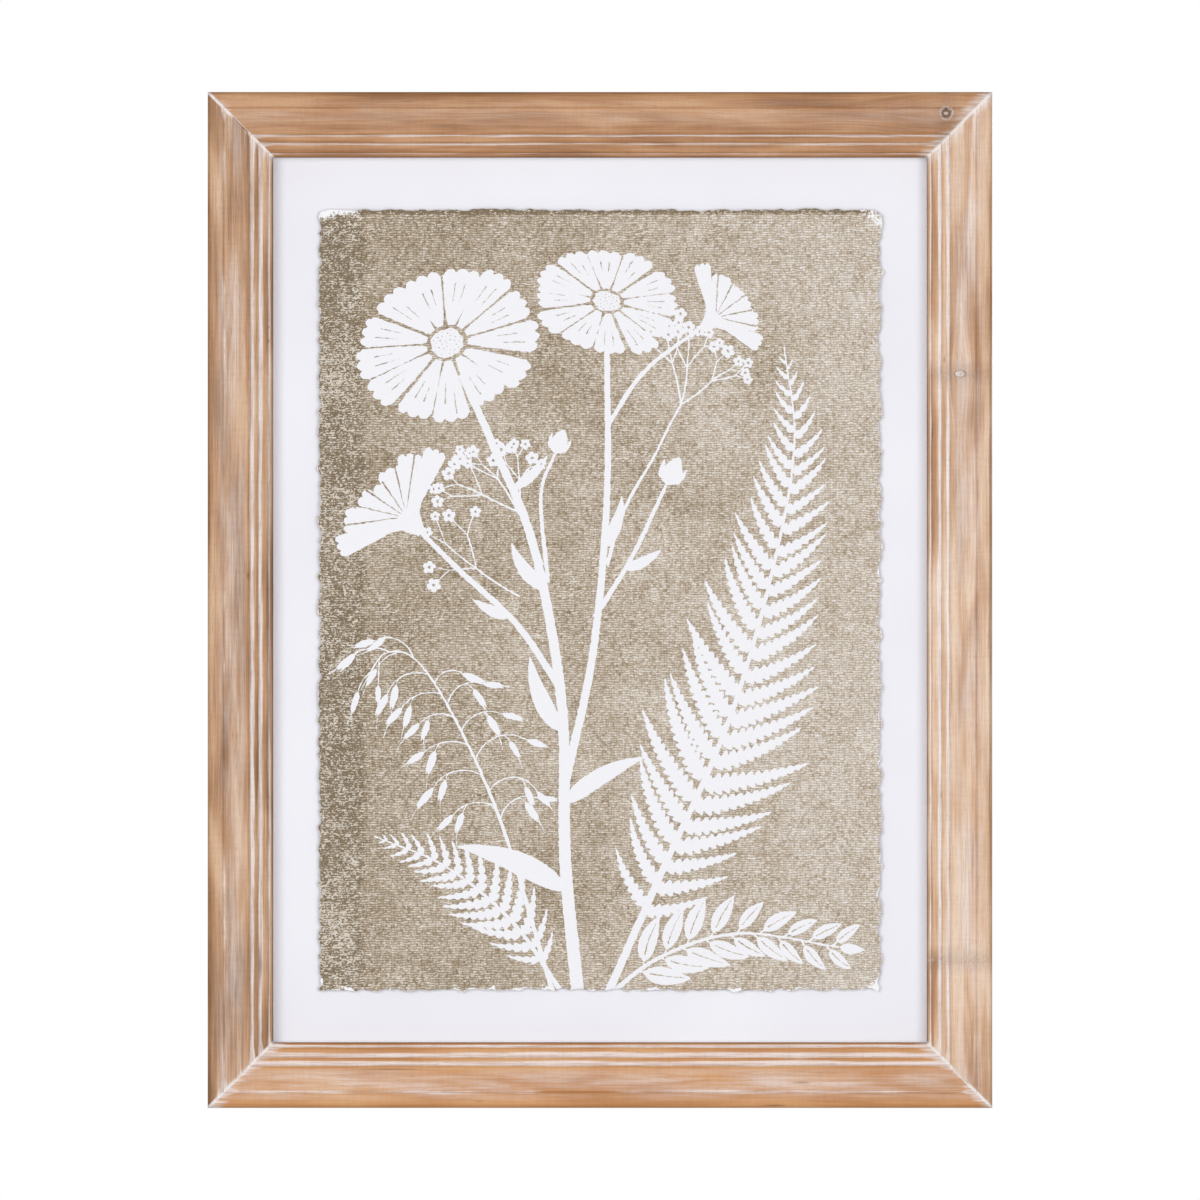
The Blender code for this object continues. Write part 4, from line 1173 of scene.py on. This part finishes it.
def tear_width(point):
    """How far in the printed skin is torn off the white core at a point near the edge, in millimetres."""
    patch = noise.noise(Vector((point.real, point.imag, 3.0)) / 7) - 0.08
    fleck = noise.noise(Vector((point.real, point.imag, 8.0)) / 2.6) - 0.2
    base = 4.0 if point.imag < -SHEET_H / 2 + 8 else 1.8 if point.real > SHEET_W / 2 - 8 else 1.1
    return base * (max(0.0, patch) + 0.8 * max(0.0, fleck)) - 0.4


def cusp_wear(point):
    """How far a point is out on a small cusp of the torn edge, where no skin is left. The top has none."""
    return 0.9 * (max(abs(point.real) - SHEET_W / 2, -point.imag - SHEET_H / 2) + 0.8)


def corner_tear(point):
    """How far a point is beyond the lines along which some corners have lost their printed skin, softened."""
    lost = -10.0
    for side, end, run, rise, full in CORNER_TEARS:
        local = complex(SHEET_W / 2 - side * point.real, SHEET_H / 2 - end * point.imag)
        lost = max(lost, min(full, (1 - local.real / run - local.imag / rise) * min(run, rise) * 0.15))
    return lost


def sheet_mesh(linen, ink_on_linen):
    """The sheet as a thin closed solid, its front parted into printed and bare faces, cockled and torn-edged.

    Also gives places and headings along its rim, for the fibres.
    """
    draw = random.Random(PRINT_SEED + 1)
    edge = sheet_edge()
    ink, gaps = draw_print(PRINT_SEED)
    ink, gaps = ([roughen(outline, draw) for outline in group] for group in (ink, gaps))
    places, lines = list(edge), []
    for outline in ink + gaps:
        first, count = len(places), len(outline)
        lines += [(first + i, first + (i + 1) % count) for i in range(count)]
        places += outline
    for ring in RIM_RINGS:
        for i in range(0, len(edge), 2):
            outwards = (edge[i - 3] - edge[(i + 3) % len(edge)]) * 1j
            places.append(edge[i] - outwards / abs(outwards) * ring)
    across, up = int(SHEET_W / GRID_STEP), int(SHEET_H / GRID_STEP)
    for i in range(across):
        for j in range(up):
            spot = complex((i + 0.5) / across - 0.5, 0) * SHEET_W + complex(0, (j + 0.5) / up - 0.5) * SHEET_H
            if inside(spot, GRID_MARGIN):
                places.append(spot)
    for side, end, run, rise, _ in CORNER_TEARS:
        for i in range(3, int(run) + 4, 2):
            for j in range(3, int(rise) + 4, 2):
                places.append(complex(side * (SHEET_W / 2 - i), end * (SHEET_H / 2 - j)))
    flat = [Vector((p.real, p.imag)) for p in places]
    whole = [list(range(len(edge)))]
    points, _, triangles, _, _, owners = geometry.delaunay_2d_cdt(flat, lines, whole, 1, 0.001)
    triangles = [triangle for triangle, owner in zip(triangles, owners) if owner]
    used = sorted({i for triangle in triangles for i in triangle})
    number = {old: new for new, old in enumerate(used)}
    points = [points[i] for i in used]
    triangles = [[number[i] for i in triangle] for triangle in triangles]
    tree = kdtree.KDTree(len(edge))
    for i, spot in enumerate(edge):
        tree.insert(Vector((spot.real, spot.imag, 0)), i)
    tree.balance()
    verts, torn, rim = [], [], []
    for point in points:
        spot = complex(point.x, point.y)
        _, nearest, depth = tree.find(Vector((point.x, point.y, 0)))
        near = math.exp(-depth / CURL_REACH)
        lift = COCKLE * (0.5 + 0.5 * noise.noise(Vector((point.x / 85, point.y / 60, 1.5))))
        lift += CURL * near * max(0.0, noise.noise(Vector((point.x / 32, point.y / 32, 5.0))) + 0.3)
        lift -= RIM_SINK * math.exp(-depth / RIM_SINK_REACH)
        verts.append((point.x * MM, SHEET_FRONT_Y - lift * MM, MIDDLE_Z + point.y * MM))
        torn.append(max(tear_width(spot) - depth, corner_tear(spot), cusp_wear(spot)))
        if depth < 0.01:
            outwards = (edge[nearest - 3] - edge[(nearest + 3) % len(edge)]) * 1j
            place = Vector(verts[-1]) + Vector((0, draw.uniform(0.05, 0.4) * MM, 0))
            rim.append((place, draw.gauss(-cmath.phase(outwards), 0.7)))
    mesh = bpy.data.meshes.new("print_sheet_skin")
    mesh.from_pydata(verts, [], triangles)
    mesh.materials.append(linen)
    mesh.materials.append(ink_on_linen)
    ink_cells, gap_cells = by_cell(ink), by_cell(gaps)
    inked = []
    for triangle in triangles:
        middle = sum(points[i].x + points[i].y * 1j for i in triangle) / 3
        cell = (int(middle.real // CELL), int(middle.imag // CELL))
        bare = any(covers(gap, middle) for gap in gap_cells.get(cell, ()))
        inked.append(int(not bare and any(covers(shape, middle) for shape in ink_cells.get(cell, ()))))
    mesh.polygons.foreach_set("material_index", inked)
    mesh.attributes.new("torn", "FLOAT", "POINT").data.foreach_set("value", torn)
    holder = bpy.data.objects.new("holder", mesh)
    bpy.context.scene.collection.objects.link(holder)
    wall = holder.modifiers.new("paper", "SOLIDIFY")
    wall.thickness, wall.offset = SHEET_T * MM * FILLED_T, -1
    return flattened(holder), rim


def add_rails():
    """The four rails, each cut from its own length of moulding."""
    tree = rail_tree()
    section = moulding_section()
    for number, (side, sight, across, wood, wash, rubbed, veiled, pooled, knots, dark_and_shade_marks) in enumerate(RAILS):
        name = f"whitewashed_fir_{side}"
        finish = whitewashed_fir(name, wood, wash, rubbed, veiled, pooled, 3.7 * (number + 1), knots, dark_and_shade_marks)
        mesh = grow(section.copy(), tree, Sight=sight, Gap=MITRE_GAP, Stations=RAIL_STATIONS,
                    Waver=HAND_WAVER, Seed=0.4 * number, Finish=finish)
        turn = Matrix.Rotation(-math.pi / 2 * number, 4, "Y")
        middle = Matrix.Translation((0, RAIL_BACK_Y, MIDDLE_Z))
        mesh.transform(middle @ turn @ Matrix.Translation((0, 0, -across / 2)))
        add_piece(f"{side}_rail_of_washed_fir", mesh, "washed_fir", f"rail_{side}")


def add_sheet():
    """The printed sheet, and the fibres that stand out round its torn rim."""
    linen = linen_finish_paper("linen_finish_paper", False)
    ink = linen_finish_paper("white_ink_on_linen_finish_paper", True)
    mesh, rim = sheet_mesh(linen, ink)
    add_piece("torn_edge_print", mesh, "print_paper", "print_sheet")
    fibres = grow(spots("rim_spots", rim), fibre_tree(), Length=FIBRE_L, Thickness=FIBRE_T, Seed=FIBRE_SEED,
                  Finish=paper_fibre("torn_paper_fibre"))
    add_piece("torn_edge_fibres", fibres, "print_paper")


def add_back_fittings(steel):
    """The bendable points that hold the back panel in, and two fasteners across each mitre."""
    places = []
    for name in POINTS:
        low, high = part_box(name)
        centre = (low + high) / 2
        if high.x - low.x > high.z - low.z:
            turn = math.pi if centre.x < 0 else 0.0
        else:
            turn = math.copysign(math.pi / 2, MIDDLE_Z - centre.z)
        places.append(((centre.x, high.y, centre.z), turn))
    low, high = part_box(POINTS[0])
    thickness, width, length = sorted(high - low)
    mesh = grow(spots("point_spots", places), point_tree(), Length=length, Width=width, Thickness=thickness,
                Tip=POINT_TIP, Finish=steel)
    add_piece("bendable_steel_points", mesh, "plated_steel", *POINTS)
    places = []
    for x_side in (-1, 1):
        for z_side in (-1, 1):
            for out in FASTENERS_AT:
                x, z = x_side * (OPEN_W / 2 + out), MIDDLE_Z + z_side * (OPEN_H / 2 + out)
                y = RAIL_BACK_Y - FASTENER_DEPTH / 2 + FASTENER_PROUD
                places.append(((x, y, z), x_side * z_side * math.pi / 4))
    mesh = grow(spots("fastener_spots", places), fastener_tree(), Length=FASTENER_L, Depth=FASTENER_DEPTH,
                Thickness=FASTENER_T, Waves=FASTENER_WAVES, Sway=FASTENER_SWAY, Finish=steel)
    add_piece("corrugated_mitre_fasteners", mesh, "plated_steel")


def finish_cad_nodes(steel):
    """Puts each made material on the CAD nodes that show as they are."""
    glass, foam = float_glass("float_glass"), foam_board("foam_board")
    finishes = {
        "glass_pane": glass,
        "mount_board": mount_board("white_mount_board"),
        "float_riser": foam,
        "back_panel": hardboard("hardboard"),
        "sawtooth_hanger": steel,
        "hanger_nail_left": steel,
        "hanger_nail_right": steel,
    }
    finishes.update({f"spacer_{side}": foam for side in ("top", "bottom", "left", "right")})
    rubber = bumper_rubber("bumper_rubber")
    finishes.update({f"bumper_{side}": rubber for side in ("left", "right")})
    for name, finish in finishes.items():
        NODES[name].data.materials.clear()
        NODES[name].data.materials.append(finish)
    # Clear glass lets soft light through to the print, which a path tracer would count as shadow
    NODES["glass_pane"].visible_shadow = False
    NODES["glass_pane"].visible_diffuse = False


def add_studio():
    """White paper all round, four soft lamps, a pale floor and the camera."""
    scene = bpy.context.scene
    world = bpy.data.worlds.new("white_studio")
    scene.world = world
    world.use_nodes = True
    tree = world.node_tree
    tree.nodes.clear()
    seen = add(tree, "ShaderNodeLightPath")
    strength = add(tree, "ShaderNodeMapRange", {0: seen, 1: 0.0, 2: 1.0, 3: AMBIENT, 4: 1.0})
    glow = add(tree, "ShaderNodeBackground", {"Color": (1.0, 1.0, 1.0, 1.0), "Strength": strength})
    add(tree, "ShaderNodeOutputWorld", {"Surface": glow})
    middle = Vector((0, FRONT_Y, MIDDLE_Z))
    for name, place, size, watts in LAMPS:
        lamp = bpy.data.lights.new(name, "AREA")
        lamp.shape, lamp.size, lamp.energy = "SQUARE", size, watts
        holder = bpy.data.objects.new(name, lamp)
        holder.location = middle + Vector(place)
        holder.rotation_euler = (-Vector(place)).to_track_quat("-Z", "Y").to_euler()
        scene.collection.objects.link(holder)
    material, tree = new_material("pale_painted_floor")
    place = add(tree, "ShaderNodeTexCoord", out=3)
    roller = add(tree, "ShaderNodeTexNoise", {"Vector": place, "Scale": 60.0, "Detail": 2.0})
    close_material(tree, roller, 0.1 * MM, {"Base Color": linear(FLOOR_COLOUR), "Roughness": 0.8,
                                            "Emission Color": linear(FLOOR_COLOUR),
                                            "Emission Strength": FLOOR_GLOW})
    mesh = bpy.data.meshes.new("floor")
    half = FLOOR_SIZE / 2
    corners = [(x * half, y * half, FLOOR_Z) for x, y in ((-1, -1), (1, -1), (1, 1), (-1, 1))]
    mesh.from_pydata(corners, [], [(0, 1, 2, 3)])
    mesh.materials.append(material)
    floor = bpy.data.objects.new("floor", mesh)
    scene.collection.objects.link(floor)
    # It lies far below, so it is kept from throwing its light up at the frame
    floor.visible_diffuse = False
    lens = bpy.data.cameras.new("camera")
    lens.lens, lens.sensor_width = CAMERA_LENS, SENSOR_W
    camera = bpy.data.objects.new("camera", lens)
    camera.location = (0.0, FRONT_Y - CAMERA_AWAY, MIDDLE_Z)
    camera.rotation_euler = (math.pi / 2, 0.0, 0.0)
    scene.collection.objects.link(camera)
    scene.camera = camera
    scene.view_settings.view_transform = "Standard"


add_studio()
add_rails()
add_sheet()
steel = zinc_plated_steel("zinc_plated_steel")
add_back_fittings(steel)
finish_cad_nodes(steel)
